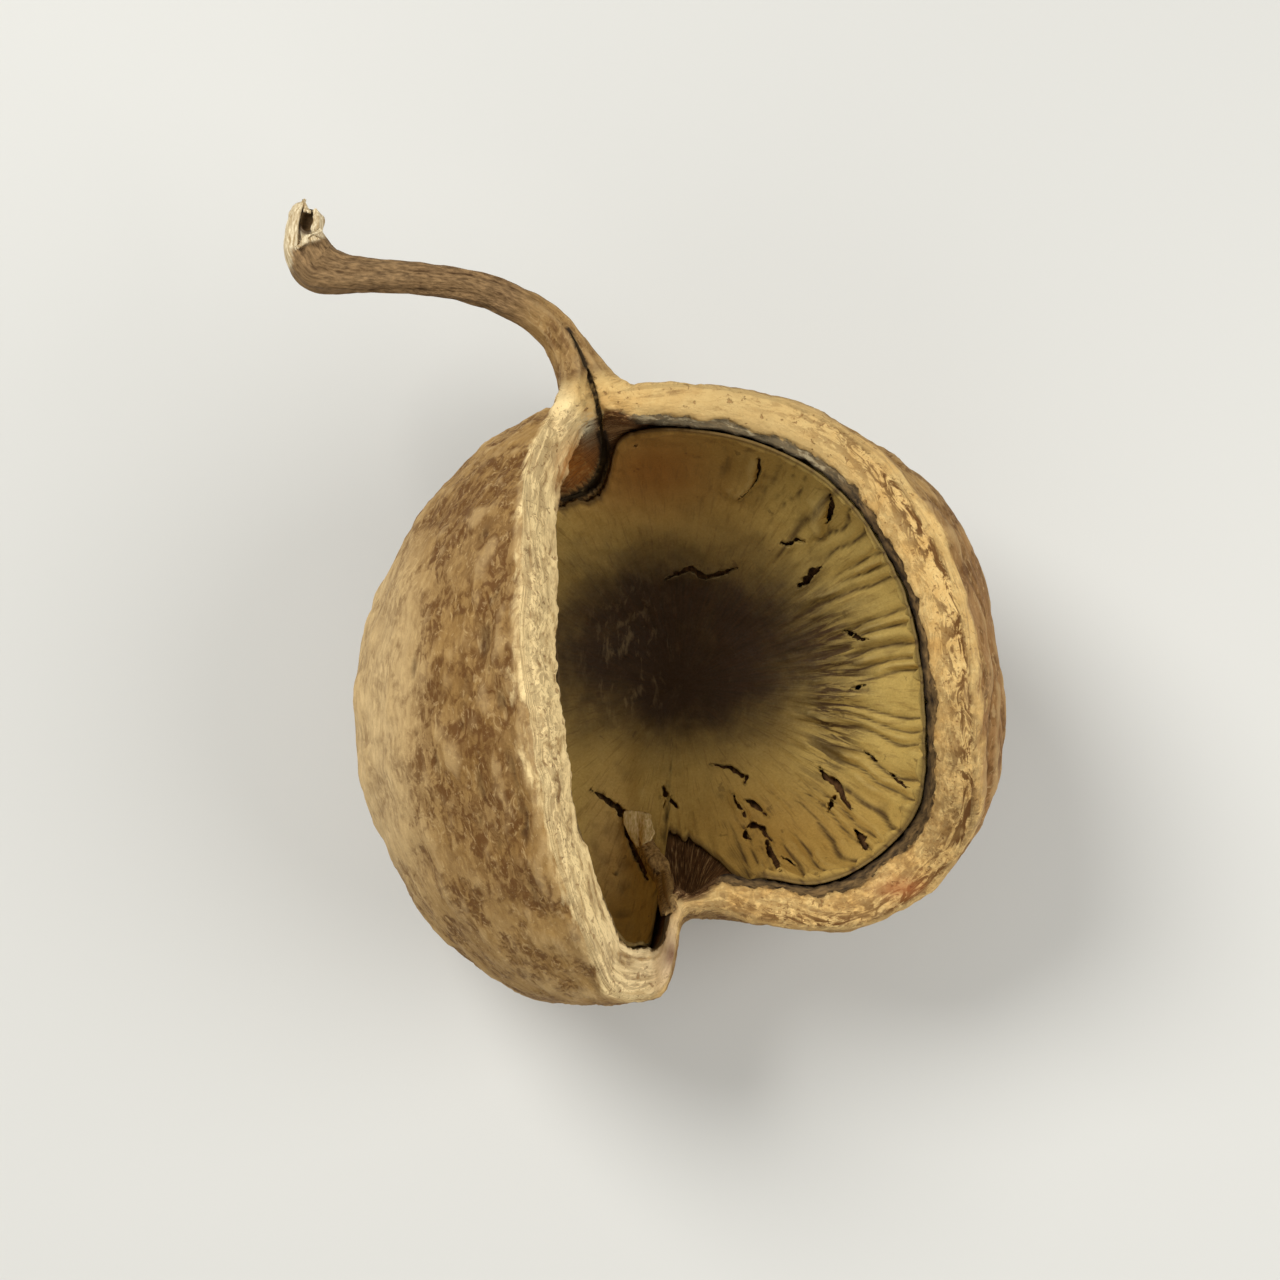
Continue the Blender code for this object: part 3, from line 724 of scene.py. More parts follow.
# ---- papery lining
lining = {
    "columns": 520, "rings": 80, "crowding": [(352, 55, 1.4)], "gap": 0.75, "thickness": 0.45,
    "folds": {"middle": 350, "width": 60, "spacing": 5.2, "height": 2.0, "bend": 3.6},  # puckers beside the right rim
    "shortfall": [  # degrees that its edge stops short of the lip: torn beside the stalk and at the tip
        (0, 2.5), (60, 2.5), (84, 4.0), (92, 6.0), (99, 13.0), (105, 18.0), (108, 24.0), (111, 33.0), (115, 43.0),
        (119, 50.0), (124, 56.0), (130, 37.0), (138, 10.0), (150, 3.0), (200, 2.5), (250, 3.0), (258, 4.0),
        (262.5, 6.0), (264.5, 30.0), (266, 58.0), (268, 60.0), (274, 54.0), (278, 50.0), (281, 47.0), (284, 42.0),
        (286.4, 36.0), (288.3, 30.0), (290, 20.0), (292, 8.0), (296, 3.5), (320, 2.5)],
    "tornZones": [(113, 18), (270, 14)],  # azimuth and half width where the edge is ragged
    "cracks": {  # photo points along each crack, and its half width in mm at the middle
        "leftLower": ([(663, 785), (668, 797), (679, 808)], 0.75),
        "middleTop": ([(709, 764), (731, 767), (739, 773), (747, 777), (744, 785)], 0.6),
        "middleSplit": ([(744, 799), (752, 801), (760, 808), (769, 817)], 0.6),
        "tornRim": ([(733, 792), (737, 803), (744, 811), (747, 820)], 0.5),
        "raggedTop": ([(746, 828), (753, 824), (762, 827), (767, 835), (773, 842)], 0.8),
        "raggedLeft": ([(746, 829), (746, 836), (752, 840)], 0.6),
        "raggedLow": ([(766, 838), (769, 848), (776, 860), (781, 872)], 0.85),
        "sideTwig": ([(781, 856), (789, 860), (799, 867)], 0.5),
        "forkTop": ([(819, 767), (826, 777), (836, 782), (843, 796), (851, 812)], 0.75),
        "forkSide": ([(836, 794), (831, 803), (829, 812)], 0.55),
        "rightEdge": ([(855, 828), (861, 838), (866, 850)], 1.0),
        "fineRight": ([(888, 771), (897, 780), (911, 790)], 0.42),
        "fineUpper": ([(864, 750), (872, 758), (880, 762)], 0.36),
        "longTear": ([(664, 580), (678, 573), (690, 568), (704, 577), (722, 573), (738, 568)], 0.62),
        "darkGash": ([(797, 588), (804, 583), (811, 574), (822, 567)], 0.85),
        "smallGash": ([(844, 631), (852, 634), (858, 638), (868, 639)], 0.62),
        "smallGashLow": ([(850, 689), (857, 688), (866, 683)], 0.55),
        "upperCreep": ([(777, 541), (788, 545), (797, 540), (806, 543)], 0.45),
        "tipGroove": ([(590, 789), (603, 798), (616, 806), (625, 817), (630, 834), (635, 851), (642, 867),
                       (647, 881)], 0.9),
        "upperFlapFoot": ([(758, 456), (760, 468), (757, 481), (747, 493), (737, 501)], 0.5),
        "rightFlapFoot": ([(830, 494), (832, 504), (830, 514), (827, 525)], 0.6),
        "pinHole": ([(634, 445), (637, 447)], 0.5),
        "cornerHole": ([(613, 872), (618, 874)], 0.7),
    },
    "sheets": {  # torn sheets: a net of photo points with the lift off the wall in mm
        "tongue": [[(624, 812, 0.2), (631, 811, 0.5), (638, 812, 0.6), (645, 814, 0.6), (651, 817, 0.3)],
                   [(626, 826, 0.4), (633, 825, 1.1), (640, 826, 0.8), (648, 828, 1.5), (655, 831, 1.4)],
                   [(631, 839, 0.6), (637, 841, 1.3), (643, 842, 1.0), (650, 843, 1.8), (657, 842, 1.9)],
                   [(637, 848, 0.5), (641, 851, 1.1), (645, 852, 0.9), (650, 850, 1.6), (654, 848, 1.7)]],
    },
    "flaps": {  # photo points along a lifted edge, lift in mm, and how far the lift reaches back
        "upperFlap": ([(754, 452), (755, 466), (751, 480), (741, 492), (730, 502)], 2.0, 6.0),
        "rightFlap": ([(826, 490), (827, 500), (825, 512), (822, 524), (822, 538)], 2.4, 6.0),
        "tearFlap": ([(733, 790), (737, 803), (744, 813), (748, 822)], 1.0, 3.0),
    },
}


def raggedness(azimuth):  # 1 in the middle of a torn zone
    return sum(hump(turnBetween(azimuth, middle), 0, width) for middle, width in lining["tornZones"])


def liningEdge(azimuth):
    return lipLine(azimuth) - loopValue(lining["shortfall"], azimuth) + 0.5 + (0.25 + 2.0 * raggedness(azimuth)) * (
        roundTheLip(azimuth, 5.0, 8) + 0.7 * roundTheLip(azimuth, 1.6, 9))


def rimFolds(azimuth, reach):  # puckers that run in from the right rim: their height, and 1 in a crease between two
    folds = lining["folds"]
    turn = turnBetween(azimuth, folds["middle"])
    side = hump(turn, 0, folds["width"])
    turn = turn + folds["bend"] * roughness(direction(azimuth, reach) * 50, 17.0, 31, 2)
    along = turn / folds["spacing"]
    along = along + 0.25 * np.sin(2.3 * along) + 0.2 * np.sin(1.3 * along + 1)
    chance = np.abs(np.sin(np.floor(along) * 12.99)) * 7.7 % 1  # each pucker has its own height and length
    wave = np.abs(np.sin(math.pi * along))
    start = 38 + 18 * chance
    fade = ease(reach, start, start + 10)
    height = (0.55 * wave ** 0.5 + 0.45 * wave ** 2) * (0.45 + 0.55 * chance) * fade * side
    return height, ease(wave, 0.34, 0.04) * ease(fade * side, 0.05, 0.4)


def liningGap(azimuth, reach):  # clearance from the wall with its crumples, puckers and streaks
    place = direction(azimuth, reach) * 50
    radial = np.stack([np.cos(np.radians(azimuth)) * 46, np.sin(np.radians(azimuth)) * 46, np.radians(reach) * 12], -1)
    right = hump(turnBetween(azimuth, 352), 0, 58)
    crumple = 0.55 * roughness(place, 9.0, 3, 1) + 0.3 * roughness(place, 3.4, 4, 2)
    knot = right * hump(reach, 46, 9) * (
        1.5 * np.abs(roughness(radial, 4.4, 12, 2)) + 0.7 * np.abs(roughness(place, 2.4, 13, 1)))
    deep = 0.3 * roughness(radial, 2.4, 10, 1) * ease(reach, 35, 60) * (0.35 + 0.65 * right)
    loose = lining["gap"] + 0.35 + crumple + lining["folds"]["height"] * rimFolds(azimuth, reach)[0] + knot + deep
    held = ease(np.radians(liningEdge(azimuth) - reach) * 50, 0.0, 2.4)
    held = np.maximum(held, 0.75 * raggedness(azimuth))
    return np.clip(0.3 + (loose - 0.3) * held, 0.2, 3.4)


def makeLining():
    azimuth = crowdedAzimuths(lining["columns"], pod["crowding"] + lining["crowding"])
    edge = liningEdge(azimuth)
    rows, inner = [], []
    for share in np.r_[ringStops(lining["rings"]), 1.0]:
        reach = share * edge
        lean = np.clip(slant(azimuth, reach), 1, 2.6)
        radius = wallInside(azimuth, reach) - liningGap(azimuth, reach) * lean
        rows.append(direction(azimuth, reach) * radius[:, None])
        inner.append(direction(azimuth, reach) * (radius - lining["thickness"] * lean)[:, None])
    return foldedSphere("paperyLining", rows + inner[::-1], lining["columns"])


def liftFlap(piece, tree, spots, lift, reachBack):
    points = readPoints(piece)
    line = [castOnto(tree, spot) for spot in fineLine(spots, 6)]
    places = np.array([place for place, _ in line])
    normals = np.array([normal for _, normal in line])
    ends = np.sin(np.linspace(0.0, math.pi, len(line))) ** 0.6
    gap = points[:, None, :] - places[None]
    nearest = np.argmin(np.einsum("ijk,ijk->ij", gap, gap), axis=1)
    off = (points - places[nearest]) / mm
    ahead = np.gradient(places, axis=0)[nearest]
    ahead /= np.linalg.norm(ahead, axis=1)[:, None]
    sideways = np.sum(off * np.cross(ahead, normals[nearest]), axis=1)
    near = ease(np.linalg.norm(off, axis=1), reachBack * 1.4, reachBack * 0.3)
    back = np.where(sideways > 0, ease(sideways, reachBack, 0), ease(-sideways, 0.9, 0))
    writePoints(piece, points + normals[nearest] * (lift * back * near * ends[nearest])[:, None] * mm)


print("Laying the papery lining")
paper = makeLining()
for spots, lift, reachBack in lining["flaps"].values():
    liftFlap(paper, treeOf(paper), spots, lift, reachBack)
paperTree = treeOf(paper)
for spots, halfWidth in lining["cracks"].values():  # the skin curls up a little beside each crack
    liftFlap(paper, paperTree, spots, 0.55, 2.2)
paperTree = treeOf(paper)
print("Cutting its cracks")
for spots, halfWidth in lining["cracks"].values():
    shapeWith(paper, crackTool(paperTree, spots, halfWidth), "DIFFERENCE")
for name, net in lining["sheets"].items():
    sheet = makeSheet(name, net, 0.4, (paperTree, wallTree))
    keepFacts(sheet, paleTorn=np.ones(len(sheet.data.vertices)),
              tornFibre=toPod(readPoints(sheet)) * (1.6, 0.25, 0.6))
    addTo(paper, sheet)
net = [[(x + across, y - 0.3 * across, lift * swell) for across, lift in crest["strands"]]
       for x, y, swell in crest["line"]]
growFibres(makeSheet("crest", net, 0.6, (paperTree, wallTree)), fromLip=30.0, tanFibre=1.0)
points = toPod(readPoints(paper))
azimuth, reach, distance, share, fromLip = surfaceFacts(points)
spotX, spotY = seenAt(points)
ringTurn = np.radians(azimuth)
keepFacts(
    paper,
    fibre=np.stack([np.cos(ringTurn) * 46, np.sin(ringTurn) * 46, np.radians(reach) * 9], -1),
    fromEdge=np.clip(np.radians(liningEdge(azimuth) - reach) * distance, -2, 40),
    # dark in the depth: part real stain, part painted shade
    deepStain=ease(np.hypot((spotX - 686) / 200, (spotY - 645) / 128), 1.32, 0.3),
    rightSide=ease(spotX, 740, 830) * ease(reach, 25, 45),
    upperRust=around(650, 470, 85, 55),
    lowerOchre=around(790, 840, 120, 60),
    # painted light: the pocket under the left lobe
    pocketTan=around(612, 858, 26, 62),
    crease=rimFolds(azimuth, reach)[1],
    knotZone=hump(reach, 47, 9) * hump(turnBetween(azimuth, 0), 0, 42),
    paleDashes=around(628, 668, 38, 70),
    dashes=points * (1.0, 0.28, 1.0))
# the hollow fact feeds painted shade in creases and painted highlights on ridges
keepFacts(paper, hollow=hollowness(paper, 8))

# ---- shared effects
print("Mixing materials")


def tone(red, green, blue):  # screen colour 0-255 to the shader's linear values
    return tuple((v / 255 / 12.92) if v / 255 <= 0.04045 else ((v / 255 + 0.055) / 1.055) ** 2.4
                 for v in (red, green, blue)) + (1.0,)


def addNode(tree, kind, inputs=None, **settings):
    node = tree.nodes.new(kind)
    for name, value in settings.items():
        setattr(node, name, value)
    for name, value in (inputs or {}).items():
        if isinstance(value, bpy.types.NodeSocket):
            tree.links.new(value, node.inputs[name])
        else:
            node.inputs[name].default_value = value
    return node


def newEffect(name, inputs, outputs):
    group = bpy.data.node_groups.new(name, "ShaderNodeTree")
    for socketName, kind, value in inputs:
        socket = group.interface.new_socket(name=socketName, in_out="INPUT", socket_type="NodeSocket" + kind)
        if value is not None:
            socket.default_value = value
    for socketName, kind in outputs:
        group.interface.new_socket(name=socketName, in_out="OUTPUT", socket_type="NodeSocket" + kind)
    return group, group.nodes.new("NodeGroupInput").outputs, group.nodes.new("NodeGroupOutput").inputs


def blotchEffect():  # soft-edged patches of a given size in mm
    group, given, out = newEffect("blotches", [
        ("Place", "Vector", None), ("Size", "Float", 5.0), ("Cover", "Float", 0.5), ("Softness", "Float", 0.1),
        ("Detail", "Float", 4.0), ("Bend", "Float", 0.4)], [("Mask", "Float")])
    scale = addNode(group, "ShaderNodeMath", {0: 1.0, 1: given["Size"]}, operation="DIVIDE")
    cloud = addNode(group, "ShaderNodeTexNoise", {"Vector": given["Place"], "Scale": scale.outputs[0],
                                                  "Detail": given["Detail"], "Roughness": 0.62,
                                                  "Distortion": given["Bend"]})
    edge = addNode(group, "ShaderNodeMath", {0: 1.0, 1: given["Cover"]}, operation="SUBTRACT")
    low = addNode(group, "ShaderNodeMath", {0: edge.outputs[0], 1: given["Softness"]}, operation="SUBTRACT")
    high = addNode(group, "ShaderNodeMath", {0: edge.outputs[0], 1: given["Softness"]}, operation="ADD")
    mask = addNode(group, "ShaderNodeMapRange", {"Value": cloud.outputs["Fac"], "From Min": low.outputs[0],
                                                 "From Max": high.outputs[0]}, interpolation_type="SMOOTHSTEP")
    group.links.new(mask.outputs["Result"], out["Mask"])
    return group


def streakEffect():  # fine fibres that run along the fibre attribute, with their height
    group, given, out = newEffect("fibreStreaks", [
        ("Fibre", "Vector", None), ("Size", "Float", 0.8), ("Contrast", "Float", 1.0)],
        [("Mask", "Float"), ("Height", "Float")])
    scale = addNode(group, "ShaderNodeMath", {0: 1.0, 1: given["Size"]}, operation="DIVIDE")
    fine = addNode(group, "ShaderNodeTexNoise", {"Vector": given["Fibre"], "Scale": scale.outputs[0], "Detail": 5.0,
                                                 "Roughness": 0.6, "Distortion": 0.2})
    spread = addNode(group, "ShaderNodeMath", {0: fine.outputs["Fac"], 1: -0.5}, operation="ADD")
    spread = addNode(group, "ShaderNodeMath", {0: spread.outputs[0], 1: given["Contrast"], 2: 0.5},
                     operation="MULTIPLY_ADD", use_clamp=True)
    group.links.new(spread.outputs[0], out["Mask"])
    group.links.new(fine.outputs["Fac"], out["Height"])
    return group


def pitEffect():  # scattered short dark specks and pits
    group, given, out = newEffect("pits", [("Place", "Vector", None), ("Size", "Float", 1.5), ("Amount", "Float", 0.2)],
                                  [("Mask", "Float"), ("Height", "Float")])
    scale = addNode(group, "ShaderNodeMath", {0: 1.0, 1: given["Size"]}, operation="DIVIDE")
    bent = addNode(group, "ShaderNodeTexNoise", {"Vector": given["Place"], "Scale": 0.9, "Detail": 2.0})
    shift = addNode(group, "ShaderNodeVectorMath", {0: bent.outputs["Color"], 1: (2.6, 2.6, 2.6), 2: given["Place"]},
                    operation="MULTIPLY_ADD")
    cell = addNode(group, "ShaderNodeTexVoronoi", {"Vector": shift.outputs[0], "Scale": scale.outputs[0],
                                                   "Randomness": 1.0})
    chance = addNode(group, "ShaderNodeSeparateColor", {0: cell.outputs["Color"]})
    width = addNode(group, "ShaderNodeMapRange", {"Value": chance.outputs[0], "From Min": 0.0,
                                                  "From Max": given["Amount"], "To Min": 0.42, "To Max": 0.0})
    speck = addNode(group, "ShaderNodeMath", {0: width.outputs["Result"], 1: cell.outputs["Distance"]},
                    operation="SUBTRACT")
    mask = addNode(group, "ShaderNodeMapRange", {"Value": speck.outputs[0], "From Min": -0.02, "From Max": 0.12},
                   interpolation_type="SMOOTHSTEP")
    low = addNode(group, "ShaderNodeMath", {0: 1.0, 1: mask.outputs["Result"]}, operation="SUBTRACT")
    group.links.new(mask.outputs["Result"], out["Mask"])
    group.links.new(low.outputs[0], out["Height"])
    return group


effects = {"blotches": blotchEffect(), "streaks": streakEffect(), "pits": pitEffect()}


class Finish:  # one material and the few steps that its layers use
    def __init__(self, name):
        self.material = bpy.data.materials.new(name)
        self.material.use_nodes = True
        self.tree = self.material.node_tree
        self.shader = self.tree.nodes["Principled BSDF"]
        coords = addNode(self.tree, "ShaderNodeTexCoord")
        turned = addNode(self.tree, "ShaderNodeMapping", {"Vector": coords.outputs["Object"],
                         "Rotation": (math.radians(-pod["lean"]), 0, 0), "Scale": (1000, 1000, 1000)})
        self.place = turned.outputs[0]
        self.fibre = self.facts("fibre", vector=True)

    def facts(self, name, vector=False):
        node = addNode(self.tree, "ShaderNodeAttribute", attribute_name=name)
        return node.outputs["Vector" if vector else "Fac"]

    def effect(self, name, output="Mask", **values):
        node = addNode(self.tree, "ShaderNodeGroup", node_tree=effects[name])
        for socket, value in values.items():
            if isinstance(value, bpy.types.NodeSocket):
                self.tree.links.new(value, node.inputs[socket])
            else:
                node.inputs[socket].default_value = value
        return node.outputs[output]

    def sums(self, operation, first, second, third=0.0, clamp=False):
        return addNode(self.tree, "ShaderNodeMath", {0: first, 1: second, 2: third}, operation=operation,
                       use_clamp=clamp).outputs[0]

    def times(self, first, second):
        return self.sums("MULTIPLY", first, second)

    def between(self, value, low, high, bottom=0.0, top=1.0):  # eased from bottom to top as value goes from low to high
        return addNode(self.tree, "ShaderNodeMapRange", {"Value": value, "From Min": low, "From Max": high,
                       "To Min": bottom, "To Max": top}, interpolation_type="SMOOTHSTEP").outputs["Result"]

    def layer(self, under, over, mask):
        return addNode(self.tree, "ShaderNodeMix", {0: mask, 6: under, 7: over}, data_type="RGBA").outputs[2]

    def tint(self, under, over, mask, amount):  # the mask may be the name of one of the piece's facts
        return self.layer(under, over, self.times(self.facts(mask) if isinstance(mask, str) else mask, amount))

    def blotches(self, size, cover, softness, detail=4.0, bend=0.4, place=None):
        return self.effect("blotches", Place=place or self.place, Size=size, Cover=cover, Softness=softness,
                           Detail=detail, Bend=bend)

    def streaks(self, size, contrast, along=None):
        return self.effect("streaks", Fibre=along or self.fibre, Size=size, Contrast=contrast)

    def bump(self, height, depth, strength, under=None):
        inputs = {"Height": height, "Distance": depth * mm, "Strength": strength}
        if under:
            inputs["Normal"] = under
        return addNode(self.tree, "ShaderNodeBump", inputs).outputs[0]


# ---- weathered bark, cork of the lips, grey inner layer, brown fibres inside, torn stalk end
barkTones = {
    "pale": tone(192, 158, 102), "middle": tone(168, 131, 73), "dark": tone(98, 63, 26), "deep": tone(56, 34, 14),
    "fleck": tone(206, 174, 120), "flankPale": tone(228, 198, 144), "ruddy": tone(150, 105, 64),
    "rim": tone(234, 203, 136), "rimShade": tone(204, 160, 92), "rimSpeck": tone(130, 88, 46),
    "topShade": tone(190, 162, 108), "tipPale": tone(240, 212, 172), "rollPale": tone(248, 222, 164),
    "redDark": tone(92, 46, 34), "redStain": tone(150, 84, 42),
    "black": tone(36, 26, 16), "band": tone(112, 88, 54), "bandTan": tone(160, 126, 78),
    "bandPale": tone(188, 176, 142),
    "inner": tone(128, 88, 48), "innerDark": tone(58, 36, 17), "orange": tone(176, 108, 40), "tan": tone(236, 200, 142),
    "stalk": tone(146, 116, 78), "stalkDark": tone(82, 60, 36), "ridge": tone(188, 152, 96),
    "straw": tone(238, 222, 184), "strawDark": tone(158, 130, 86),
}


def barkFinish():
    finish = Finish("weatheredBark")
    c = barkTones
    hollow, fromLip, share = finish.facts("hollow"), finish.facts("fromLip"), finish.facts("thickShare")
    onStalk, torn = finish.facts("onStalk"), finish.facts("torn")
    patches = finish.blotches(13.0, 0.5, 0.18)
    colour = finish.layer(c["middle"], c["pale"], finish.times(patches, 0.7))
    # painted light: the left flank made paler where light falls on it
    colour = finish.tint(colour, c["flankPale"], "paleFlank", 0.8)
    # painted shade: the right side of the bark made darker, away from the light
    colour = finish.tint(colour, c["ruddy"], "rightBack", 0.6)
    burnt = finish.blotches(15.0, 0.42, 0.1, detail=6.0)
    colour = finish.tint(colour, c["dark"], burnt, 0.3)
    zones = finish.blotches(7.0, 0.5, 0.09, detail=5.0)
    zones = finish.sums("MULTIPLY_ADD", finish.facts("midBand"), 0.5, finish.times(zones, 0.8), clamp=True)
    # painted light: fewer dark patches on the lit left flank
    zones = finish.times(zones, finish.between(finish.facts("paleFlank"), 0.0, 1.0, 1.0, 0.5))
    upright = addNode(finish.tree, "ShaderNodeMapping", {"Vector": finish.place, "Scale": (1.0, 0.55, 1.0)}).outputs[0]
    mottle = finish.blotches(1.5, 0.5, 0.07, detail=6.0, bend=0.9, place=upright)
    colour = finish.tint(colour, c["dark"], mottle, finish.between(zones, 0.0, 1.0, 0.1, 0.9))
    freckles = finish.blotches(0.9, 0.48, 0.14, detail=5.0, place=finish.fibre)
    colour = finish.tint(colour, c["dark"], freckles, finish.between(zones, 0.0, 1.0, 0.2, 0.5))
    colour = finish.tint(colour, c["dark"], zones, 0.24)
    colour = finish.tint(colour, c["dark"], "midBand", 0.2)
    streak = finish.streaks(0.8, 3.0)
    colour = finish.tint(colour, c["dark"], streak, 0.25)
    worms = finish.blotches(1.6, 0.38, 0.07, detail=4.0, bend=2.0, place=upright)
    colour = finish.tint(colour, c["fleck"], worms, 0.42)
    # painted shade darker deep in the hollows, painted highlight paler on the sharp ridges
    colour = finish.tint(colour, c["deep"], finish.between(hollow, 0.25, 1.0), 0.5)
    colour = finish.tint(colour, c["fleck"], finish.between(hollow, -0.3, -1.0), 0.4)
    # stalk, greyer and darker to its end
    bole = finish.layer(c["stalk"], c["stalkDark"], finish.streaks(0.5, 3.4))
    # painted shade in the stalk's furrows
    bole = finish.tint(bole, c["deep"], finish.between(hollow, 0.1, 0.6), 0.75)
    colour = finish.layer(colour, bole, finish.times(
        onStalk, finish.between(finish.facts("stalkEnd"), 0.0, 0.7, 0.25, 0.95)))
    # cork of the lip, worn over its outer corner
    wander = finish.blotches(2.2, 0.5, 0.3, detail=6.0, place=finish.fibre)
    rolled = finish.facts("rolledLip")
    spill = finish.sums("MULTIPLY_ADD", rolled, 1.0, fromLip)
    worn = finish.between(finish.sums("MULTIPLY_ADD", wander, -7.0, spill), 1.2, -3.2)
    cork = finish.blotches(4.0, 0.45, 0.22, detail=5.0)
    rim = finish.layer(c["rim"], c["rimShade"], cork)
    crumb = finish.streaks(0.5, 3.0, finish.place)
    rim = finish.tint(rim, c["rimShade"], crumb, finish.between(rolled, 0.0, 1.0, 0.5, 0.25))
    ringwise = finish.facts("roundLip", True)
    rimThreads = finish.streaks(0.5, 3.4, ringwise)
    rim = finish.tint(rim, c["rimShade"], rimThreads, finish.between(rolled, 0.0, 1.0, 0.4, 0.2))
    rim = finish.tint(rim, c["topShade"], "greyTop", 0.7)
    rim = finish.tint(rim, c["tipPale"], "tipPale", 0.95)
    # painted light: the left lobe's rolled lip made paler where light falls on it
    rim = finish.tint(rim, c["rollPale"], rolled, 0.75)
    outerPart = finish.between(share, 0.72, 0.05)
    wornRim = finish.facts("wornRim")
    bits = finish.blotches(0.9, 0.38, 0.06, detail=3.0, bend=1.5)
    rim = finish.tint(rim, c["rimSpeck"], bits, finish.between(
        finish.sums("ADD", outerPart, wornRim), 0.2, 2.0, 0.1, 0.95))
    dash = finish.effect("pits", Place=finish.place, Size=1.4, Amount=0.28)
    rim = finish.tint(rim, c["rimSpeck"], dash, 0.6)
    flecks = finish.blotches(0.75, 0.38, 0.08, detail=5.0, bend=0.8, place=ringwise)
    rim = finish.tint(rim, c["rimSpeck"], finish.times(flecks, rolled), 0.45)
    smudge = finish.blotches(1.4, 0.5, 0.06, detail=6.0, bend=1.2, place=ringwise)
    rim = finish.tint(rim, c["dark"], finish.times(smudge, wornRim), finish.between(outerPart, 0.0, 1.0, 0.3, 1.0))
    rim = finish.tint(rim, c["redDark"], "tipRed", 0.8)
    # dark mottling on the lower right rim, partly real speckling and partly painted shade
    rusty = finish.blotches(1.3, 0.52, 0.1, detail=6.0)
    rim = finish.tint(rim, c["dark"], finish.times(rusty, finish.facts("lowerRight")), 0.4)
    rim = finish.tint(rim, c["redStain"], "redStain", 0.75)
    # painted shade in the cork's hollows
    rim = finish.tint(rim, c["deep"], finish.between(hollow, 0.3, 1.0), 0.55)
    colour = finish.layer(colour, rim, finish.times(worn, finish.between(onStalk, 1.0, 0.1)))
    # grey fibrous layer on the inner edge of the lip, then the bare brown inside
    grey = finish.layer(c["black"], c["band"], finish.streaks(0.7, 3.0, ringwise))
    paleThreads = finish.blotches(0.9, 0.42, 0.1, place=ringwise)
    grey = finish.tint(grey, c["bandTan"], paleThreads, 0.45)
    grey = finish.tint(grey, c["bandPale"], finish.between(paleThreads, 0.0, 1.0, 0.25, 1.0),
                       finish.between(finish.facts("greyTop"), 0.1, 0.8, 0.0, 0.85))
    grey = finish.layer(grey, c["black"], finish.between(share, 0.92, 1.0, 0.0, 0.75))
    ragged = finish.blotches(1.4, 0.5, 0.3, detail=6.0)
    band = finish.between(finish.sums("MULTIPLY_ADD", ragged, 0.13, share), 0.83, 0.88)
    band = finish.times(band, finish.between(onStalk, 0.5, 0.1))
    colour = finish.layer(colour, grey, band)
    bare = finish.layer(c["inner"], c["innerDark"], finish.streaks(0.8, 2.6))
    # painted shade: black in the hollows of the bare inside
    bare = finish.tint(bare, c["black"], finish.between(hollow, 0.3, 1.0), 0.6)
    colour = finish.layer(colour, bare, finish.times(band, finish.between(fromLip, 3.0, 5.0)))
    threads = finish.streaks(0.6, 3.4)
    brown = finish.layer(c["inner"], c["innerDark"], threads)
    brown = finish.layer(brown, c["tan"], finish.between(threads, 0.4, 0.05, 0.0, 0.4))
    brown = finish.tint(brown, c["deep"], "brownTip", 0.45)
    bareFibres = finish.sums("MAXIMUM", finish.facts("brownFibres"), finish.facts("brownTip"))
    colour = finish.layer(colour, brown, finish.between(bareFibres, 0.3, 0.6))
    colour = finish.tint(colour, c["orange"], finish.facts("orangePocket"),
                         finish.between(threads, 0.0, 1.0, 0.9, 0.35))
    colour = finish.tint(colour, c["bandPale"], finish.facts("greyFibres"), finish.between(threads, 0.3, 0.8, 0.9, 0.1))
    # tan fibres at the tip and the pale torn wood
    # painted shade: the gaps beside the lining and in the slit painted black
    colour = finish.tint(colour, c["black"], "gapDark", 0.95)
    tan = finish.layer(c["ridge"], c["innerDark"], finish.times(threads, 0.8))
    colour = finish.layer(colour, tan, finish.facts("tanFibre"))
    straw = finish.layer(c["straw"], c["strawDark"], finish.streaks(0.45, 3.0))
    # painted shade in the hollows of the torn fibres
    straw = finish.tint(straw, c["deep"], finish.between(hollow, 0.15, 0.8), 0.7)
    colour = finish.layer(colour, straw, torn)
    colour = finish.layer(colour, c["innerDark"], finish.facts("tornCore"))
    finish.tree.links.new(colour, finish.shader.inputs["Base Color"])
    grain = finish.effect("streaks", "Height", Fibre=finish.fibre, Size=0.6)
    crumbs = finish.effect("streaks", "Height", Fibre=finish.place, Size=0.4)
    normal = finish.bump(grain, 0.35, 0.6)
    normal = finish.bump(crumbs, 0.24, 0.55, normal)
    normal = finish.bump(finish.effect("pits", "Height", Place=finish.place, Size=1.4, Amount=0.28), 0.3,
                         finish.times(worn, 0.7), normal)
    finish.tree.links.new(normal, finish.shader.inputs["Normal"])
    rough = finish.between(streak, 0.0, 1.0, 0.7, 0.88)
    finish.tree.links.new(rough, finish.shader.inputs["Roughness"])
    finish.shader.inputs["Specular IOR Level"].default_value = 0.18
    return finish.material


# ---- olive lining skin, dark in the depth from real stain and painted shade
liningTones = {
    "olive": tone(208, 180, 100), "tan": tone(188, 156, 82), "ochre": tone(190, 146, 66), "rust": tone(140, 82, 18),
    "pocket": tone(206, 168, 98), "stain": tone(53, 27, 6), "stainDeep": tone(28, 14, 3), "grey": tone(108, 90, 62),
    "shade": tone(118, 86, 38), "crease": tone(66, 44, 18), "edge": tone(218, 194, 132),
    "paleTorn": tone(244, 220, 168),
}


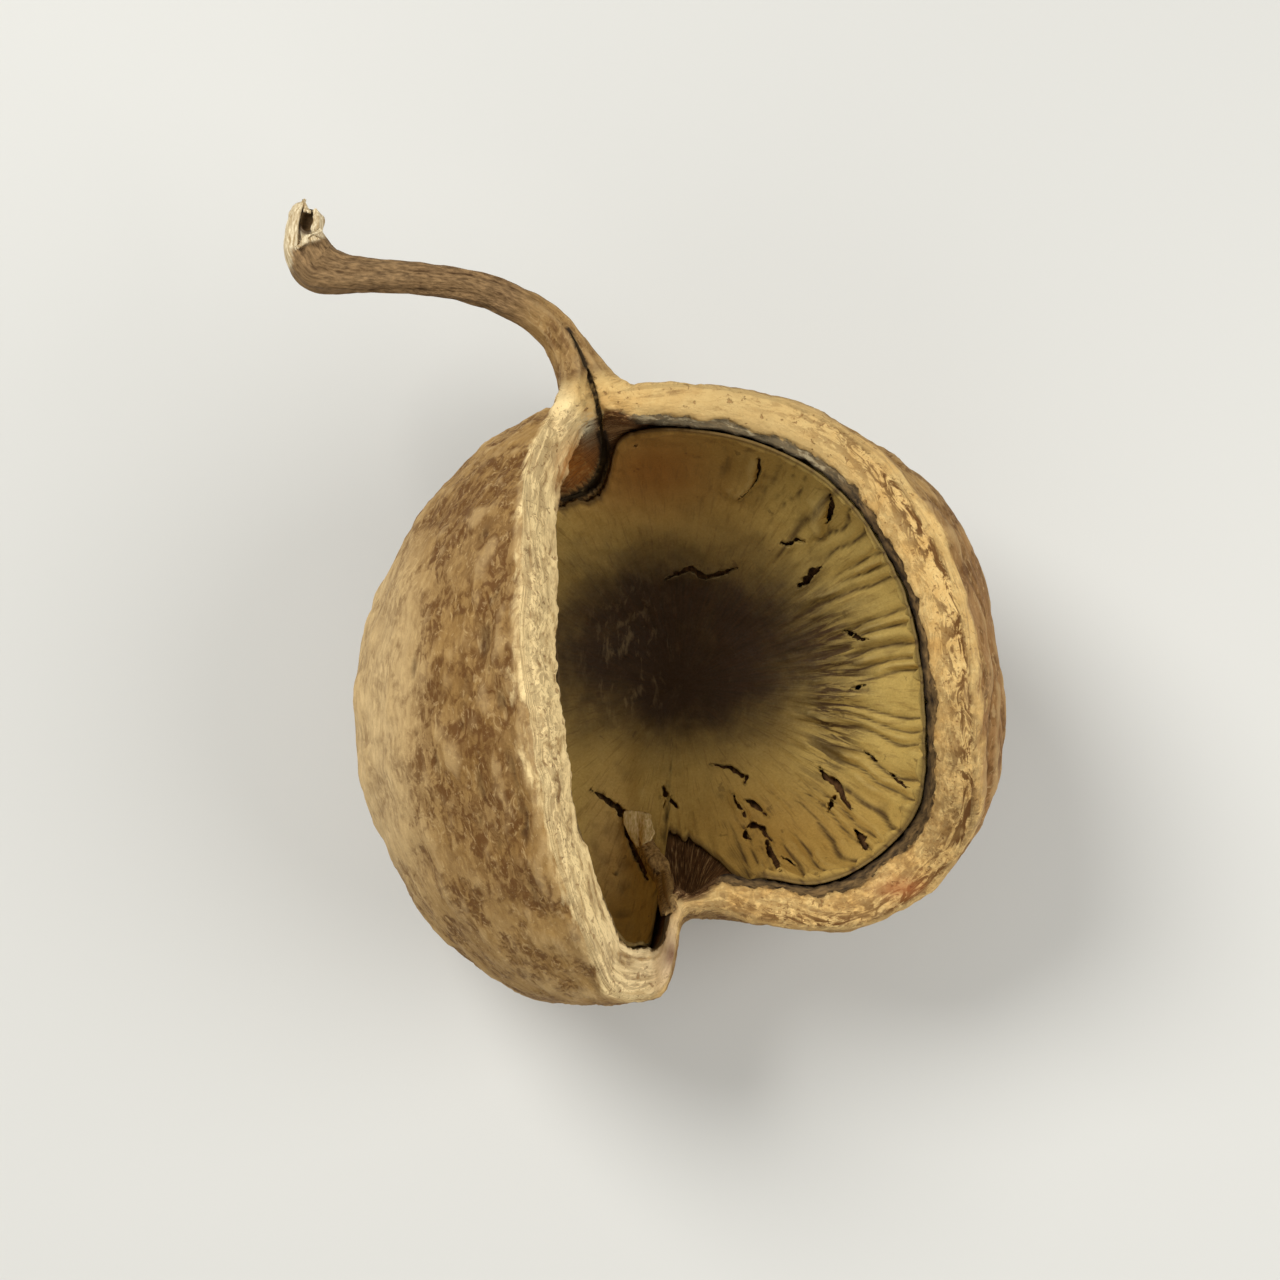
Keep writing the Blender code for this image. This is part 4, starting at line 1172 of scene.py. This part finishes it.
def liningFinish():
    finish = Finish("oliveLining")
    c = liningTones
    hollow, fromEdge, deep = finish.facts("hollow"), finish.facts("fromEdge"), finish.facts("deepStain")
    right = finish.facts("rightSide")
    patches = finish.blotches(12.0, 0.5, 0.3)
    # painted light: the right side of the lining paler olive, where light falls inside
    colour = finish.layer(c["tan"], c["olive"], finish.sums("MULTIPLY_ADD", right, 0.6, finish.times(patches, 0.4)))
    colour = finish.tint(colour, c["rust"], "upperRust", 0.85)
    colour = finish.tint(colour, c["ochre"], "lowerOchre", 0.7)
    # painted light: the pocket under the left lobe made paler, as if light reached it
    colour = finish.layer(colour, c["pocket"], finish.facts("pocketTan"))
    grainy = finish.streaks(0.42, 2.6, finish.place)
    colour = finish.tint(colour, c["shade"], grainy, 0.25)
    dim = finish.blotches(2.6, 0.5, 0.25, detail=6.0)
    colour = finish.tint(colour, c["shade"], dim, 0.14)
    fine = finish.streaks(0.9, 3.2)
    colour = finish.tint(colour, c["shade"], finish.between(fine, 0.6, 1.0), 0.35)
    # the dark in the depth, part real stain and part painted shade, soaks outwards in soft blotches and a few streaks
    ragged = finish.streaks(2.0, 2.4)
    cloudy = finish.blotches(9.0, 0.5, 0.3, detail=6.0)
    spread = finish.sums("MULTIPLY_ADD", finish.sums("SUBTRACT", cloudy, 0.5), 0.3, deep)
    spread = finish.sums("MULTIPLY_ADD", finish.times(finish.sums("SUBTRACT", ragged, 0.5), right), 0.3, spread)
    stained = finish.layer(c["stain"], c["stainDeep"], finish.streaks(1.2, 2.2))
    stained = finish.tint(stained, c["grey"], finish.facts("paleDashes"), finish.blotches(
        1.2, 0.4, 0.1, detail=3.0, place=finish.facts("dashes", True)))
    colour = finish.layer(colour, stained, finish.between(spread, 0.0, 1.0, 0.0, 0.97))
    # painted shade in the creases, painted highlight where the skin stands proud
    colour = finish.tint(colour, c["crease"], finish.between(hollow, 0.45, 1.3), 0.6)
    # painted shade along the creases between the puckers
    broken = finish.blotches(3.0, 0.6, 0.2)
    colour = finish.tint(colour, c["crease"], finish.facts("crease"), finish.between(broken, 0.0, 1.0, 0.35, 0.9))
    colour = finish.tint(colour, c["edge"], finish.between(hollow, -0.35, -1.0),
                         finish.between(fromEdge, 1.0, 4.0, 0.0, 0.14))
    # painted shade along the torn edge, where the gap under it is dark
    colour = finish.layer(colour, c["crease"], finish.between(fromEdge, 1.6, 0.2, 0.0, 0.7))
    creep = finish.blotches(2.2, 0.5, 0.06, detail=6.0, bend=1.2, place=finish.fibre)
    colour = finish.tint(colour, c["stain"], creep, finish.between(finish.facts("knotZone"), 0.2, 0.9, 0.0, 0.85))
    specks = finish.effect("pits", Place=finish.place, Size=2.2, Amount=0.1)
    colour = finish.tint(colour, c["stain"], specks, 0.4)
    shred = finish.layer(c["paleTorn"], c["tan"], finish.streaks(0.5, 3.0, finish.facts("tornFibre", True)))
    colour = finish.layer(colour, shred, finish.facts("paleTorn"))
    finish.tree.links.new(colour, finish.shader.inputs["Base Color"])
    normal = finish.bump(finish.effect("streaks", "Height", Fibre=finish.fibre, Size=0.9), 0.3, 0.5)
    normal = finish.bump(finish.effect("streaks", "Height", Fibre=finish.place, Size=0.4), 0.16, 0.55, normal)
    finish.tree.links.new(normal, finish.shader.inputs["Normal"])
    finish.tree.links.new(finish.between(grainy, 0.0, 1.0, 0.66, 0.84), finish.shader.inputs["Roughness"])
    finish.shader.inputs["Specular IOR Level"].default_value = 0.3
    return finish.material


for piece, material, node, slot in ((wall, barkFinish(), "woody_shell", "bark"),
                                    (paper, liningFinish(), "papery_lining", "lining")):
    piece.data.materials.clear()
    piece.data.materials.append(material)
    pick(piece)
    bpy.ops.object.shade_smooth()
    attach(piece, "root")
    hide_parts(node)

# ---- floor, light and camera
print("Setting floor, light and camera")
studio = {
    "floor": tone(206, 205, 199),
    "lights": {  # place in mm in the pod's frame, size, watts
        "key": ((-400, 430, 560), 420, 5.4),
        "fill": ((500, 0, 420), 600, 2.9),
        "front": ((-160, -480, 460), 600, 0.9),
    },
    "sky": 0.3,
}
bpy.ops.object.select_all(action="DESELECT")
bpy.ops.mesh.primitive_plane_add(size=4.0, location=(0, 0, 0))
floor = bpy.context.object
floor.name = "floor"
paint = bpy.data.materials.new("paleFloor")
paint.use_nodes = True
paint.node_tree.nodes["Principled BSDF"].inputs["Base Color"].default_value = studio["floor"]
paint.node_tree.nodes["Principled BSDF"].inputs["Roughness"].default_value = 0.9
floor.data.materials.append(paint)
floor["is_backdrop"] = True

for name, (place, size, watts) in studio["lights"].items():
    spot = restPlace @ (Vector(place) * mm)
    bpy.ops.object.light_add(type="AREA", location=spot)
    lamp = bpy.context.object
    lamp.name = name
    lamp.data.shape, lamp.data.size, lamp.data.energy = "DISK", size * mm, watts
    lamp.rotation_euler = (restPlace @ Vector((0, 0, 0)) - spot).to_track_quat("-Z", "Y").to_euler()

world = bpy.data.worlds.new("softRoom")
world.use_nodes = True
world.node_tree.nodes["Background"].inputs["Color"].default_value = (1.0, 0.99, 0.97, 1)
world.node_tree.nodes["Background"].inputs["Strength"].default_value = studio["sky"]
bpy.context.scene.world = world
bpy.context.scene.view_settings.view_transform = "Standard"

bpy.ops.object.camera_add()
camera = bpy.context.object
camera.matrix_world = restPlace @ Matrix.Translation(Vector(photo["eye"]) * mm)
camera.data.sensor_width = camera.data.sensor_height = 36
camera.data.angle = 2 * math.atan(photo["halfFrame"] * photo["scale"] / photo["eye"][2])
camera.data.clip_start = 0.01
bpy.context.scene.camera = camera

low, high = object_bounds()
for name, corners in (("Cad", (*cadLow, *cadHigh)), ("Visual", (*low, *high))):
    print(name, "box", [round(v / mm, 1) for v in corners])
